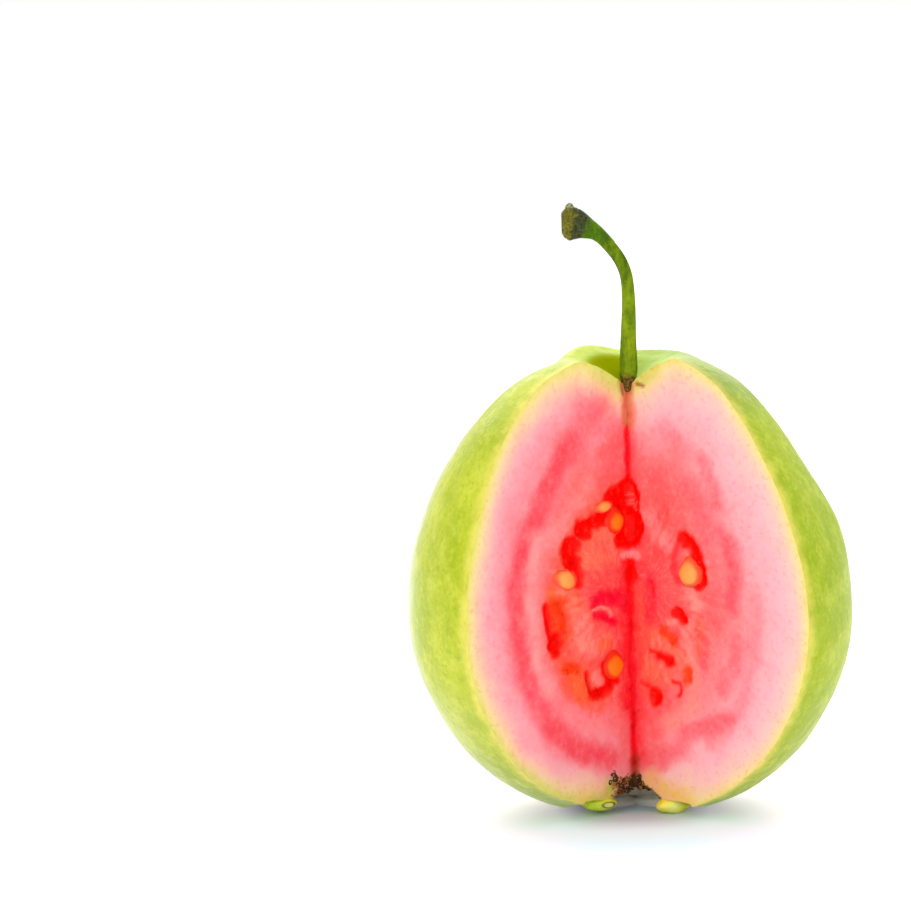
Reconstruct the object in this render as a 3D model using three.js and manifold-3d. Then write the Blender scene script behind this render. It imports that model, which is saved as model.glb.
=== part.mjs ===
// A ripe guava that stands upright with about a quarter cut out of it, its stem and its calyx still on.
// Millimetres, +Z up, standing on z = 0. The wedge opens towards -Y, so that both cut faces meet on the
// fruit's axis and show the pulp with its seeds. Inside this file everything is laid out round that axis,
// and the last group moves the whole fruit until its box is centred on the origin.

import * as THREE from 'three';
import { mergeVertices } from 'three/addons/utils/BufferGeometryUtils.js';
import Module from 'manifold-3d';

const wasm = await Module();
wasm.setup();

// ---- Driving dimensions ----------------------------------------------------------------------------

// Where the fruit's axis stands once the part's box is centred on the origin.
const AXIS_X = 0.35;
const AXIS_Y = -5.85;

// Half outline of the fruit, as [distance from the axis, height], from the dimple down to the base.
const OUTLINE = [
  [2.1, 70.6], [4.3, 71.9], [7.2, 73.2], [11.2, 73.8], [18.4, 70.2], [24.0, 64.2], [28.7, 57.2],
  [32.3, 50.1], [35.0, 42.0], [36.0, 33.0], [34.8, 24.5], [31.2, 16.3], [26.2, 9.2], [19.5, 3.9],
  [12.8, 0.9], [11.5, 1.1],
];
const OUTLINE_STEPS = 27;
const SIDES = 56;

// The stem stands in a shallow socket in the crown, and the calyx is a cup in the base.
const SOCKET = [[0, 69.3], [2.1, 69.3]];
const CALYX_CUP = [[11.0, 2.7], [5.2, 2.7], [4.4, 3.2], [4.8, 4.3], [4.6, 5.5], [3.4, 6.8], [0, 7.6]];

// Broad swellings and flats that make the fruit uneven: middle of each, how far it stands out, its width.
const SWELLINGS = [
  { at: [-20, -17, 63], out: 1.6, width: 14 },
  { at: [-30, 6, 50], out: 0.8, width: 16 },
  { at: [-16, 7, 70], out: -1.7, width: 10 },
  { at: [-6.5, 7, 75], out: 2.5, width: 6 },
  { at: [7, 10, 75], out: 1.0, width: 9 },
  { at: [26, 2, 62], out: -0.6, width: 16 },
  { at: [31, -14, 50], out: -0.7, width: 9 },
  { at: [34, -4, 47], out: 0.5, width: 6 },
  { at: [36, 4, 24], out: -0.5, width: 14 },
  { at: [10, 34, 44], out: 0.9, width: 15 },
  { at: [-18, 30, 24], out: -0.8, width: 13 },
  { at: [16, 22, 62], out: -0.7, width: 10 },
];
const MIDDLE = new THREE.Vector3(0, 0, 38);

// Five low ribs, strongest round the crown.
const RIB_COUNT = 5;
const RIB_HEIGHT = 0.28;
const RIB_TURN = 0.6;

// The base slopes, so that the fruit sits on a small flat spot at the back of it.
const BASE_SLOPE = 0.12;
const BASE_FADE = 20;

// The wedge: half its angle, and the slit that the knife left along the core.
const HALF_WEDGE = THREE.MathUtils.degToRad(47.6);
const WEDGE_REACH = 60;
const SLIT_WIDTH = 0.6;
const SLIT_DEPTH = 1.8;
const SLIT_FROM = 10;
const SLIT_TO = 60;
const SLIT_END = 0.3;

// The cut faces, by distance from the axis r and height z. A pit is an emptied seed pocket: its width
// along r, its height along z, how deep it is sunk and how far its long side turns from upright.
const LEFT_PITS = [
  { r: 1.2, z: 50.6, wide: 5.2, high: 8.4, deep: 1.6, turn: -12 },
  { r: 1.2, z: 45.6, wide: 4.4, high: 6.2, deep: 1.7, turn: 0 },
  { r: 5.2, z: 49.6, wide: 7.6, high: 3.4, deep: 1.0, turn: 30 },
  { r: 10.0, z: 46.7, wide: 4.2, high: 5.2, deep: 1.6, turn: 25 },
  { r: 6.4, z: 47.4, wide: 5.4, high: 3.8, deep: 1.5, turn: 0 },
  { r: 12.9, z: 43.0, wide: 3.9, high: 6.4, deep: 1.5, turn: 14 },
  { r: 17.6, z: 32.8, wide: 1.8, high: 6.0, deep: 0.9, turn: 0 },
  { r: 16.6, z: 28.9, wide: 3.8, high: 4.8, deep: 1.6, turn: -8 },
  { r: 9.6, z: 21.2, wide: 2.6, high: 5.0, deep: 1.2, turn: -12 },
  { r: 7.0, z: 20.4, wide: 3.6, high: 3.6, deep: 1.4, turn: 30 },
  { r: 4.9, z: 22.6, wide: 5.0, high: 6.2, deep: 1.3, turn: 25 },
  { r: 6.0, z: 32.2, wide: 4.8, high: 2.2, deep: 1.0, turn: 0 },
];
const RIGHT_PITS = [
  { r: 1.0, z: 47.9, wide: 3.8, high: 10.2, deep: 1.6, turn: 0 },
  { r: 13.2, z: 43.2, wide: 3.4, high: 8.6, deep: 1.6, turn: -38 },
  { r: 15.2, z: 39.6, wide: 3.0, high: 5.6, deep: 1.6, turn: -4 },
  { r: 11.8, z: 40.0, wide: 5.0, high: 6.0, deep: 0.8, turn: -10 },
  { r: 10.1, z: 32.3, wide: 3.0, high: 4.2, deep: 1.5, turn: -30 },
  { r: 4.2, z: 36.9, wide: 1.6, high: 3.2, deep: 0.9, turn: 0 },
  { r: 8.3, z: 28.6, wide: 4.2, high: 3.2, deep: 1.0, turn: -35 },
  { r: 6.6, z: 25.2, wide: 5.2, high: 3.0, deep: 1.3, turn: 0 },
  { r: 11.4, z: 23.1, wide: 1.9, high: 3.4, deep: 1.1, turn: 0 },
  { r: 9.1, z: 20.9, wide: 3.0, high: 3.6, deep: 1.0, turn: 0 },
  { r: 4.7, z: 19.1, wide: 3.2, high: 3.4, deep: 1.3, turn: 0 },
];

// A seed stands in the flesh: its length, its width, how far its pointed end turns from upright, and how
// deep its middle lies behind the cut.
const LEFT_SEEDS = [
  { r: 5.9, z: 50.1, long: 4.2, wide: 2.2, turn: 68, deep: 0.5 },
  { r: 3.0, z: 47.6, long: 3.9, wide: 3.1, turn: 15, deep: 0.5 },
  { r: 14.8, z: 39.0, long: 4.8, wide: 3.2, turn: 80, deep: 0.3 },
  { r: 14.6, z: 35.7, long: 4.6, wide: 3.4, turn: 100, deep: 0.6 },
  { r: 14.6, z: 32.4, long: 4.4, wide: 3.6, turn: 60, deep: 0.8 },
  { r: 13.4, z: 24.6, long: 4.2, wide: 2.6, turn: 75, deep: 0.8 },
  { r: 11.8, z: 21.7, long: 5.0, wide: 3.2, turn: 10, deep: 0.5 },
  { r: 3.9, z: 24.2, long: 4.6, wide: 3.5, turn: -8, deep: 0.1 },
];
const RIGHT_SEEDS = [
  { r: 11.8, z: 39.7, long: 4.9, wide: 4.0, turn: -12, deep: 0.1 },
  { r: 7.9, z: 28.3, long: 4.0, wide: 2.6, turn: -55, deep: 0.7 },
  { r: 5.9, z: 25.0, long: 4.0, wide: 2.6, turn: 80, deep: 0.8 },
  { r: 8.8, z: 20.7, long: 3.2, wide: 2.3, turn: 0, deep: 0.6 },
  { r: 14.4, z: 27.8, long: 3.8, wide: 2.0, turn: 0, deep: 0.7 },
];
const SEED_THICKNESS = 2.6;
const SEED_SIDES = 8;
const SEED_RINGS = 5;
const SEED_TAPER = 0.35;

// Where the seeds lie, the cut faces are divided finely, and elsewhere coarsely.
const FINE_STEP = 1.35;
const SEEDED = { rTo: 20.2, zFrom: 16.5, zTo: 55.7 };

// The stem, from the socket to its swollen cut end: [x, y, z, half width seen from the front, half depth].
const STEM = [
  [0.25, 0.15, 69.6, 1.0, 1.0], [0.3, 0.2, 70.9, 1.45, 1.45], [0.4, 0.25, 72.4, 1.5, 1.5],
  [0.46, 0.3, 76.7, 1.32, 1.3], [0.62, 0.3, 82.0, 1.15, 1.15], [0.4, 0.3, 86.4, 1.05, 1.05],
  [-0.5, 0.3, 89.2, 1.05, 1.05], [-2.2, 0.4, 91.7, 1.1, 1.05], [-4.1, 0.5, 93.7, 1.25, 1.1],
  [-5.8, 0.6, 94.9, 1.95, 1.5], [-7.5, 0.7, 95.75, 2.65, 2.0], [-9.1, 0.8, 95.7, 2.3, 1.8],
];
const STEM_SIDES = 12;
const STEM_STEPS = 33;
const SCAR = { at: [-8.5, 0.7, 97.85], half: [0.8, 0.9, 0.95] };
const SCAR_SIDES = 8;

// The calyx lobes: fleshy flaps, folded out flat under the fruit. The first of the five, in the middle of
// the wedge, was cut away.
const LOBE_COUNT = 5;
const LOBE = { from: 4.7, to: 10.7, width: 7.4, height: 2.4, lift: 0.9, taper: 0.22 };
const LOBE_SIDES = 14;
const LOBE_RINGS = 9;

// The dried stamens: a low pad in the calyx cup, which thin curled filaments hang from.
const PAD = { radius: 4.1, low: 4.7, high: 6.3 };
const PAD_SIDES = 16;
const PAD_RINGS = 6;
const FILAMENT_COUNT = 18;
const FILAMENT = { radius: 0.32, length: 2.4, spread: 3.1, curl: 0.5 };
const FILAMENT_SIDES = 4;
const FILAMENT_STEPS = 3;
const GOLDEN_TURN = THREE.MathUtils.degToRad(137.5);

const SKIN = { color: 0xcddb5a, roughness: 0.45, metalness: 0 };
const STEM_GREEN = { color: 0x6f8f12, roughness: 0.6, metalness: 0 };
const LOBE_GREEN = { color: 0xa9b52a, roughness: 0.6, metalness: 0 };
const DRY_BROWN = { color: 0x4a3520, roughness: 0.9, metalness: 0 };

const MERGE_MM = 1e-4;

// ---- Meshes and solids -----------------------------------------------------------------------------

function solidOf(geometry) {
  const bare = geometry.clone();
  bare.deleteAttribute('normal');
  bare.deleteAttribute('uv');
  const merged = mergeVertices(bare, MERGE_MM);
  const corners = merged.index.array;
  const kept = [];
  for (let i = 0; i < corners.length; i += 3) {
    const [a, b, c] = corners.subarray(i, i + 3);
    if (a !== b && b !== c && c !== a) kept.push(a, b, c);
  }
  return new wasm.Manifold(new wasm.Mesh({
    numProp: 3,
    vertProperties: merged.attributes.position.array,
    triVerts: Uint32Array.from(kept),
  }));
}

function geometryOf(solid) {
  const mesh = solid.getMesh();
  const geometry = new THREE.BufferGeometry();
  geometry.setAttribute('position', new THREE.BufferAttribute(mesh.vertProperties, 3));
  geometry.setIndex(new THREE.BufferAttribute(mesh.triVerts, 1));
  geometry.computeVertexNormals();
  return geometry;
}

// Moves every vertex of a geometry to where place(vertex) puts it.
function reshaped(geometry, place) {
  const positions = geometry.attributes.position;
  const vertex = new THREE.Vector3();
  for (let i = 0; i < positions.count; i += 1) {
    vertex.fromBufferAttribute(positions, i);
    place(vertex);
    positions.setXYZ(i, vertex.x, vertex.y, vertex.z);
  }
  return geometry;
}

// Evenly spaced stops from one value to another, no further apart than step.
function stops(from, to, step) {
  const count = Math.ceil((to - from) / step);
  return Array.from({ length: count }, (_, i) => from + ((to - from) * i) / count);
}

// ---- The fruit -------------------------------------------------------------------------------------

function swell(vertex) {
  const outward = vertex.clone().sub(MIDDLE).normalize();
  const turn = Math.atan2(vertex.x, -vertex.y);
  let out = 0;
  for (const { at, out: height, width } of SWELLINGS) {
    out += height * Math.exp(-vertex.distanceToSquared(new THREE.Vector3(...at)) / width ** 2);
  }
  const ribbed = THREE.MathUtils.smoothstep(Math.hypot(vertex.x, vertex.y), 8, 16);
  out += RIB_HEIGHT * ribbed * Math.cos(RIB_COUNT * turn + RIB_TURN);
  vertex.addScaledVector(outward, out);
}

function settle(vertex) {
  const fade = THREE.MathUtils.clamp(1 - vertex.z / BASE_FADE, 0, 1);
  vertex.z = Math.max(vertex.z - BASE_SLOPE * vertex.y * fade, 0);
}

function body() {
  const curve = new THREE.SplineCurve(OUTLINE.map(([r, z]) => new THREE.Vector2(r, z)));
  const corners = (points) => points.map(([r, z]) => new THREE.Vector2(r, z));
  const outline = [...corners(SOCKET), ...curve.getPoints(OUTLINE_STEPS), ...corners(CALYX_CUP)];
  const lathe = new THREE.LatheGeometry(outline.reverse(), SIDES);
  lathe.rotateX(Math.PI / 2);
  return solidOf(reshaped(lathe, (vertex) => {
    if (Math.hypot(vertex.x, vertex.y) > OUTLINE[0][0] + MERGE_MM) {
      swell(vertex);
      settle(vertex);
    }
  }));
}

// How deep the pits sink a cut face at a place on it.
function pitDepth(pits, r, z) {
  let depth = 0;
  for (const pit of pits) {
    const turn = THREE.MathUtils.degToRad(pit.turn);
    const across = (r - pit.r) * Math.cos(turn) - (z - pit.z) * Math.sin(turn);
    const along = (r - pit.r) * Math.sin(turn) + (z - pit.z) * Math.cos(turn);
    const q = (2 * across / pit.wide) ** 2 + (2 * along / pit.high) ** 2;
    if (q < 1) depth = Math.max(depth, pit.deep * (1 - q ** 2));
  }
  return depth;
}

// A place on a cut face, side -1 on the left and 1 on the right, sunk by depth into the flesh.
function onFace(side, r, z, depth) {
  const sine = Math.sin(HALF_WEDGE);
  const cosine = Math.cos(HALF_WEDGE);
  return new THREE.Vector3(side * (r * sine + depth * cosine), depth * sine - r * cosine, z);
}

// What the knife took out, with the pits of both faces standing out of it.
function wedge() {
  const radii = [
    0, ...stops(0.9, SEEDED.rTo, FINE_STEP), ...stops(SEEDED.rTo, 41, 4.2), WEDGE_REACH,
  ];
  const heights = [
    ...stops(-4, SEEDED.zFrom, 3.5), ...stops(SEEDED.zFrom, SEEDED.zTo, FINE_STEP),
    ...stops(SEEDED.zTo, 80, 4), 80,
  ];
  const box = new THREE.BoxGeometry(1, 1, 1, 1, radii.length - 1, heights.length - 1);
  return solidOf(reshaped(box, (vertex) => {
    const side = Math.sign(vertex.x);
    const r = radii[Math.round((0.5 - vertex.y) * (radii.length - 1))];
    const z = heights[Math.round((vertex.z + 0.5) * (heights.length - 1))];
    if (r === 0) {
      const slit = z > SLIT_FROM && z < SLIT_TO ? SLIT_DEPTH : SLIT_END;
      vertex.set((side * SLIT_WIDTH) / 2, slit, z);
    } else {
      vertex.copy(onFace(side, r, z, pitDepth(side < 0 ? LEFT_PITS : RIGHT_PITS, r, z)));
    }
  }));
}

// A seed: an egg with one pointed end, lying in its cut face.
function seed(side, { r, z, long, wide, turn, deep }) {
  const angle = THREE.MathUtils.degToRad(turn);
  const egg = new THREE.SphereGeometry(1, SEED_SIDES, SEED_RINGS);
  return solidOf(reshaped(egg, (vertex) => {
    const along = (vertex.y * long) / 2;
    const narrow = 1 - SEED_TAPER * Math.max(vertex.y, 0);
    const across = (side * vertex.x * narrow * wide) / 2;
    const dr = across * Math.cos(angle) + along * Math.sin(angle);
    const dz = along * Math.cos(angle) - across * Math.sin(angle);
    const thick = (vertex.z * narrow * SEED_THICKNESS) / 2;
    vertex.copy(onFace(side, r + dr, z + dz, deep - thick));
  }));
}

function fruit(cut) {
  const seeds = [...LEFT_SEEDS.map((one) => seed(-1, one)), ...RIGHT_SEEDS.map((one) => seed(1, one))];
  return seeds.reduce((flesh, one) => flesh.add(one), body().subtract(cut));
}

// ---- The stem --------------------------------------------------------------------------------------

function stem() {
  const line = new THREE.CatmullRomCurve3(STEM.map(([x, y, z]) => new THREE.Vector3(x, y, z)));
  const halves = new THREE.SplineCurve(STEM.map(([, , , a, b]) => new THREE.Vector2(a, b)));
  const rod = new THREE.CylinderGeometry(1, 1, 1, STEM_SIDES, STEM_STEPS);
  const away = new THREE.Vector3(0, 1, 0);
  reshaped(rod, (vertex) => {
    const t = vertex.y + 0.5;
    const half = halves.getPoint(t);
    const side = line.getTangent(t).cross(away).normalize();
    const { x, z } = vertex;
    vertex.copy(line.getPoint(t)).addScaledVector(side, x * half.x).addScaledVector(away, z * half.y);
  });
  const scar = new THREE.SphereGeometry(1, SCAR_SIDES, SCAR_SIDES / 2);
  scar.scale(...SCAR.half).translate(...SCAR.at);
  return solidOf(rod).add(solidOf(scar));
}

// ---- The calyx -------------------------------------------------------------------------------------

function calyxLobe(index) {
  const turn = (2 * Math.PI * index) / LOBE_COUNT - Math.PI / 2;
  const flap = new THREE.SphereGeometry(1, LOBE_SIDES, LOBE_RINGS).rotateX(Math.PI / 2);
  return solidOf(reshaped(flap, (vertex) => {
    const r = THREE.MathUtils.lerp(LOBE.from, LOBE.to, (vertex.x + 1) / 2);
    const across = (vertex.y * LOBE.width * (1 - LOBE.taper * vertex.x)) / 2;
    const z = LOBE.lift + vertex.z * (LOBE.height - LOBE.lift);
    vertex.set(r * Math.cos(turn) - across * Math.sin(turn), r * Math.sin(turn) + across * Math.cos(turn), z);
    settle(vertex);
  }));
}

function filament(index) {
  const turn = index * GOLDEN_TURN;
  const foot = FILAMENT.spread * Math.sqrt((index + 0.5) / FILAMENT_COUNT);
  const thread = new THREE.CylinderGeometry(
    FILAMENT.radius, FILAMENT.radius, FILAMENT.length, FILAMENT_SIDES, FILAMENT_STEPS,
  ).rotateX(Math.PI / 2);
  return solidOf(reshaped(thread, (vertex) => {
    const down = FILAMENT.length / 2 - vertex.z;
    const bend = FILAMENT.curl * Math.sin(down + index) * (down / FILAMENT.length);
    vertex.x += foot * Math.cos(turn) + bend * Math.cos(index);
    vertex.y += foot * Math.sin(turn) + bend * Math.sin(index);
    vertex.z = PAD.low + 0.6 - down;
  }));
}

function driedStamens(cut) {
  const pad = new THREE.SphereGeometry(1, PAD_SIDES, PAD_RINGS).rotateX(Math.PI / 2);
  pad.scale(PAD.radius, PAD.radius, (PAD.high - PAD.low) / 2).translate(0, 0, (PAD.high + PAD.low) / 2);
  const threads = Array.from({ length: FILAMENT_COUNT }, (_, index) => filament(index));
  return threads.reduce((bunch, one) => bunch.add(one), solidOf(pad)).subtract(cut);
}

// ---- The whole part --------------------------------------------------------------------------------

function piece(name, solid, finish) {
  const mesh = new THREE.Mesh(geometryOf(solid), new THREE.MeshStandardMaterial(finish));
  mesh.name = name;
  return mesh;
}

const cut = wedge();
const guava = new THREE.Group();
guava.position.set(AXIS_X, AXIS_Y, 0);
guava.add(piece('fruit', fruit(cut), SKIN));
guava.add(piece('stem', stem(), STEM_GREEN));
for (let index = 1; index < LOBE_COUNT; index += 1) {
  guava.add(piece(`calyx_lobe_${index}`, calyxLobe(index), LOBE_GREEN));
}
guava.add(piece('dried_stamens', driedStamens(cut), DRY_BROWN));

export default guava;
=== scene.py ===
"""A ripe guava that stands upright with a quarter cut away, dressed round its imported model."""
import math
import random

import bpy
import numpy as np
from mathutils import Matrix, Vector, noise

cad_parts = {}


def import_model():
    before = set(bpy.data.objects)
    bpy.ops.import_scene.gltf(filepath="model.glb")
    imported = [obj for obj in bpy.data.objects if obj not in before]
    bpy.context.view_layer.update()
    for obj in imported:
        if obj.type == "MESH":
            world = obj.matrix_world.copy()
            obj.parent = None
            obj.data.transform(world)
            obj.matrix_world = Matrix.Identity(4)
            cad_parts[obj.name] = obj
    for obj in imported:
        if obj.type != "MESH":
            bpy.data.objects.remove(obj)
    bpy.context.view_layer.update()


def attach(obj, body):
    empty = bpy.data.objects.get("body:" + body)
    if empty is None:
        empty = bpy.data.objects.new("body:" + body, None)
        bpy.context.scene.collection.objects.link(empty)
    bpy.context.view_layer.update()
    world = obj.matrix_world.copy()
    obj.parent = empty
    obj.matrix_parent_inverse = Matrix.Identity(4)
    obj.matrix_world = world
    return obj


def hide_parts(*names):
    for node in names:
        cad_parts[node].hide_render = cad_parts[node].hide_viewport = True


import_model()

MM = 0.001

# ---- Sizes in millimetres, round the fruit's axis ----

AXIS = (0.35, -5.85)

# Half outlines, as distance from the axis and height.
OUTLINE = [
    (2.1, 70.6), (4.3, 71.9), (7.2, 73.2), (11.2, 73.8), (18.4, 70.2), (24.0, 64.2), (28.7, 57.2),
    (32.3, 50.1), (35.0, 42.0), (36.0, 33.0), (34.8, 24.5), (31.2, 16.3), (26.2, 9.2), (19.5, 3.9),
    (12.8, 0.9), (11.5, 1.1),
]
SOCKET = [(0.0, 69.3), (0.6, 69.45), (1.4, 69.95)]
CALYX_CUP = [
    (9.6, 1.45), (7.4, 1.6), (5.9, 1.7), (4.9, 1.85), (4.3, 2.5), (3.6, 3.1), (2.6, 3.6), (1.4, 4.0),
    (0.0, 4.15),
]
MIDDLE = np.array((0.0, 0.0, 38.0))

# Broad swellings and flats: middle, how far each stands out, how wide it is.
SWELLINGS = [
    ((-20, -17, 63), 1.6, 14), ((-30, 6, 50), 0.8, 16), ((-16, 7, 70), -1.7, 10),
    ((-6.5, 7, 75), 2.5, 6), ((7, 10, 75), 1.0, 9), ((26, 2, 62), -0.6, 16),
    ((31, -14, 50), -0.7, 9), ((34, -4, 47), 0.5, 6), ((36, 4, 24), -0.5, 14),
    ((-8.8, -8.0, 1.5), -0.75, 4.5), ((10, 34, 44), 0.9, 15), ((-18, 30, 24), -0.8, 13),
    ((16, 22, 62), -0.7, 10),
]
RIB_COUNT, RIB_HEIGHT, RIB_TURN = 5, 0.28, 0.6
BASE_SLOPE, BASE_FADE = 0.12, 20.0

HALF_WEDGE = math.radians(47.6)

# The seed chamber's middle and half sizes, and the point that the fibres of the flesh spread from, as
# distance from the axis and height.
CHAMBER_MIDDLE, CHAMBER_HALF = (4.0, 35.5), (15.5, 20.0)
FIBRE_ROOT = (3.0, 36.5)

# Emptied seed pockets: distance from the axis, height, width, height, depth, turn from upright.
LEFT_PITS = [
    (1.5, 51.4, 4.4, 5.2, 1.6, 0), (0.9, 46.1, 4.8, 5.4, 1.7, 0), (8.0, 47.4, 7.6, 2.8, 1.4, 6),
    (10.2, 46.0, 3.0, 2.2, 1.4, 0), (13.0, 43.1, 4.2, 5.6, 1.6, 10), (11.3, 39.6, 1.6, 3.2, 1.0, 0),
    (18.4, 32.6, 1.6, 6.0, 1.0, 8), (16.8, 29.0, 3.4, 3.6, 1.6, 0), (9.9, 21.9, 1.2, 3.2, 1.0, 14),
    (7.2, 20.4, 4.6, 2.2, 1.4, -12), (4.2, 24.2, 5.6, 5.4, 0.9, 0), (6.0, 32.3, 4.8, 1.6, 1.0, 0),
]
RIGHT_PITS = [
    (0.6, 51.4, 3.0, 5.0, 1.6, 0), (0.9, 46.4, 3.8, 5.2, 1.7, 0), (12.4, 43.9, 2.4, 5.8, 1.6, -42),
    (14.6, 39.6, 2.4, 5.0, 1.6, -4), (12.0, 40.0, 4.8, 5.4, 0.8, -10), (10.1, 32.4, 2.6, 3.4, 1.5, -40),
    (4.2, 36.6, 1.4, 3.0, 0.9, 0), (8.0, 28.9, 4.0, 2.0, 0.9, -35), (6.9, 25.2, 4.0, 2.2, 1.3, -20),
    (11.3, 23.2, 1.8, 2.4, 0.9, 0), (9.3, 20.6, 1.6, 2.4, 1.0, 0), (4.7, 18.8, 2.8, 2.6, 1.3, 0),
]
PITS = {-1: LEFT_PITS, 1: RIGHT_PITS}
PIT_DEPTH = 0.4

# Seeds that lie under the gel and lift it: distance from the axis, height, width, height, how proud
# each stands, turn from upright.
LEFT_LUMPS = [
    (15.6, 36.9, 3.6, 3.0, 0.45, 0), (12.8, 35.4, 3.8, 3.0, 0.4, 0), (15.9, 32.6, 3.4, 4.4, 0.45, 0),
    (13.8, 24.8, 3.6, 2.0, 0.4, 0), (11.6, 22.0, 3.4, 5.0, 0.5, 24), (6.0, 27.8, 3.4, 1.8, 0.25, 0),
    (10.4, 29.6, 4.4, 4.2, 0.2, 0), (7.2, 42.6, 5.2, 3.4, 0.2, 0),
]
RIGHT_LUMPS = [
    (7.6, 30.0, 3.4, 1.8, 0.3, -30), (7.0, 27.3, 4.6, 1.4, 0.3, -62), (12.0, 27.4, 3.0, 4.4, 0.25, 0),
    (9.0, 22.9, 3.0, 1.8, 0.35, -20), (14.4, 28.4, 2.0, 4.4, 0.25, 0), (6.6, 22.4, 3.0, 2.4, 0.25, 0),
    (6.2, 37.6, 3.0, 3.4, 0.15, 0),
]
LUMPS = {-1: LEFT_LUMPS, 1: RIGHT_LUMPS}

# Seeds in their gel: distance from the axis, height, length, width, turn from upright, depth of the
# middle, and how the gel colours each.
LEFT_SEEDS = [
    (5.9, 50.1, 4.9, 2.3, 97, 0.8, "pale"), (3.0, 47.7, 5.0, 4.5, 12, 0.8, "amber"),
    (14.6, 39.3, 6.2, 3.8, 68, 0.75, "pale"), (4.0, 24.4, 4.9, 4.5, -8, 0.65, "amber"),
]
RIGHT_SEEDS = [(12.1, 39.8, 5.2, 4.5, -8, 0.6, "pale")]
SEED_THICKNESS, SEED_TAPER = 2.6, 0.35
# Each seed's colour on top and at its rim.
SEED_TONES = {"pale": ((254, 168, 84), (252, 92, 56)), "amber": ((254, 130, 20), (250, 48, 16))}

# Stem: x, y, z, half width seen from the front, half depth.
STEM = [
    (0.2, -0.2, 68.3, 0.45, 0.5), (0.2, 0.0, 69.1, 0.85, 0.9), (0.25, 0.15, 70.0, 1.15, 1.15),
    (0.3, 0.2, 71.0, 1.45, 1.45), (0.4, 0.25, 72.4, 1.5, 1.5),
    (0.46, 0.3, 76.7, 1.32, 1.3), (0.62, 0.3, 82.0, 1.15, 1.15), (0.4, 0.3, 86.4, 1.05, 1.05),
    (-0.5, 0.3, 89.2, 1.05, 1.05), (-2.2, 0.4, 91.7, 1.1, 1.05), (-4.1, 0.5, 93.7, 1.25, 1.1),
    (-5.8, 0.6, 94.65, 1.8, 1.5), (-7.2, 0.7, 95.2, 2.5, 1.9), (-8.4, 0.75, 95.45, 2.85, 2.2),
    (-9.3, 0.8, 95.5, 2.5, 2.0), (-9.85, 0.8, 95.5, 1.75, 1.5),
]
SCAR_AT, SCAR_HALF = (-8.5, 0.7, 97.85), (0.8, 0.9, 0.95)

LOBE_COUNT = 5
LOBE_FROM, LOBE_TO, LOBE_TAPER = 3.6, 9.1, 0.22
# Each lobe's width, the height of its middle and of its top.
LOBES = {1: (7.0, 1.0, 2.45), 2: (10.4, 0.9, 2.5), 3: (10.4, 0.9, 2.5), 4: (6.8, 1.55, 2.9)}
# The pale scar with a dark ring round it on the front of one lobe: its middle and half sizes, x and z.
RING_AT, RING_HALF = (-4.5, 1.9), (0.95, 0.5)

# Colours of the flesh and of what grows in it, written 0 to 255.
TISSUES = {
    "pale_rose": (253, 168, 166), "rose": (247, 76, 90), "salmon": (252, 150, 138),
    "apricot": (253, 126, 92), "coral": (251, 92, 66), "flesh_red": (250, 76, 78),
    "scarlet": (252, 22, 38), "magenta": (252, 0, 50), "claret": (252, 4, 0), "rust": (248, 60, 12),
    "orange": (253, 98, 44), "cream": (246, 206, 140), "strand": (216, 108, 64), "cork": (150, 92, 44),
    "maroon": (190, 14, 6), "russet": (180, 56, 34), "bark": (62, 42, 20), "moss": (196, 202, 84),
    "straw": (244, 198, 100),
}

# From the skin inwards: depth below the skin, and the colour there.
LEFT_FLESH = [
    (0.0, (210, 222, 104)), (0.6, (230, 226, 128)), (1.6, (245, 219, 160)), (3.0, (252, 198, 176)),
    (4.8, (253, 173, 180)), (7.6, (253, 152, 163)), (11.6, (252, 140, 145)), (14.5, (252, 128, 134)),
    (18.0, (252, 118, 114)), (25.0, (251, 98, 94)), (37.0, (251, 80, 82)),
]
# The right face's table is paler, partly from the flesh's own colour and partly as painted light, since that
# face is the more brightly lit of the two.
RIGHT_FLESH = [
    (0.0, (218, 214, 96)), (0.5, (238, 220, 138)), (1.4, (247, 214, 166)), (2.8, (252, 198, 186)),
    (5.5, (253, 184, 191)), (9.5, (253, 170, 177)), (13.0, (252, 148, 152)), (17.0, (252, 126, 128)),
    (22.0, (251, 110, 106)), (30.0, (250, 88, 90)),
]

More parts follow.
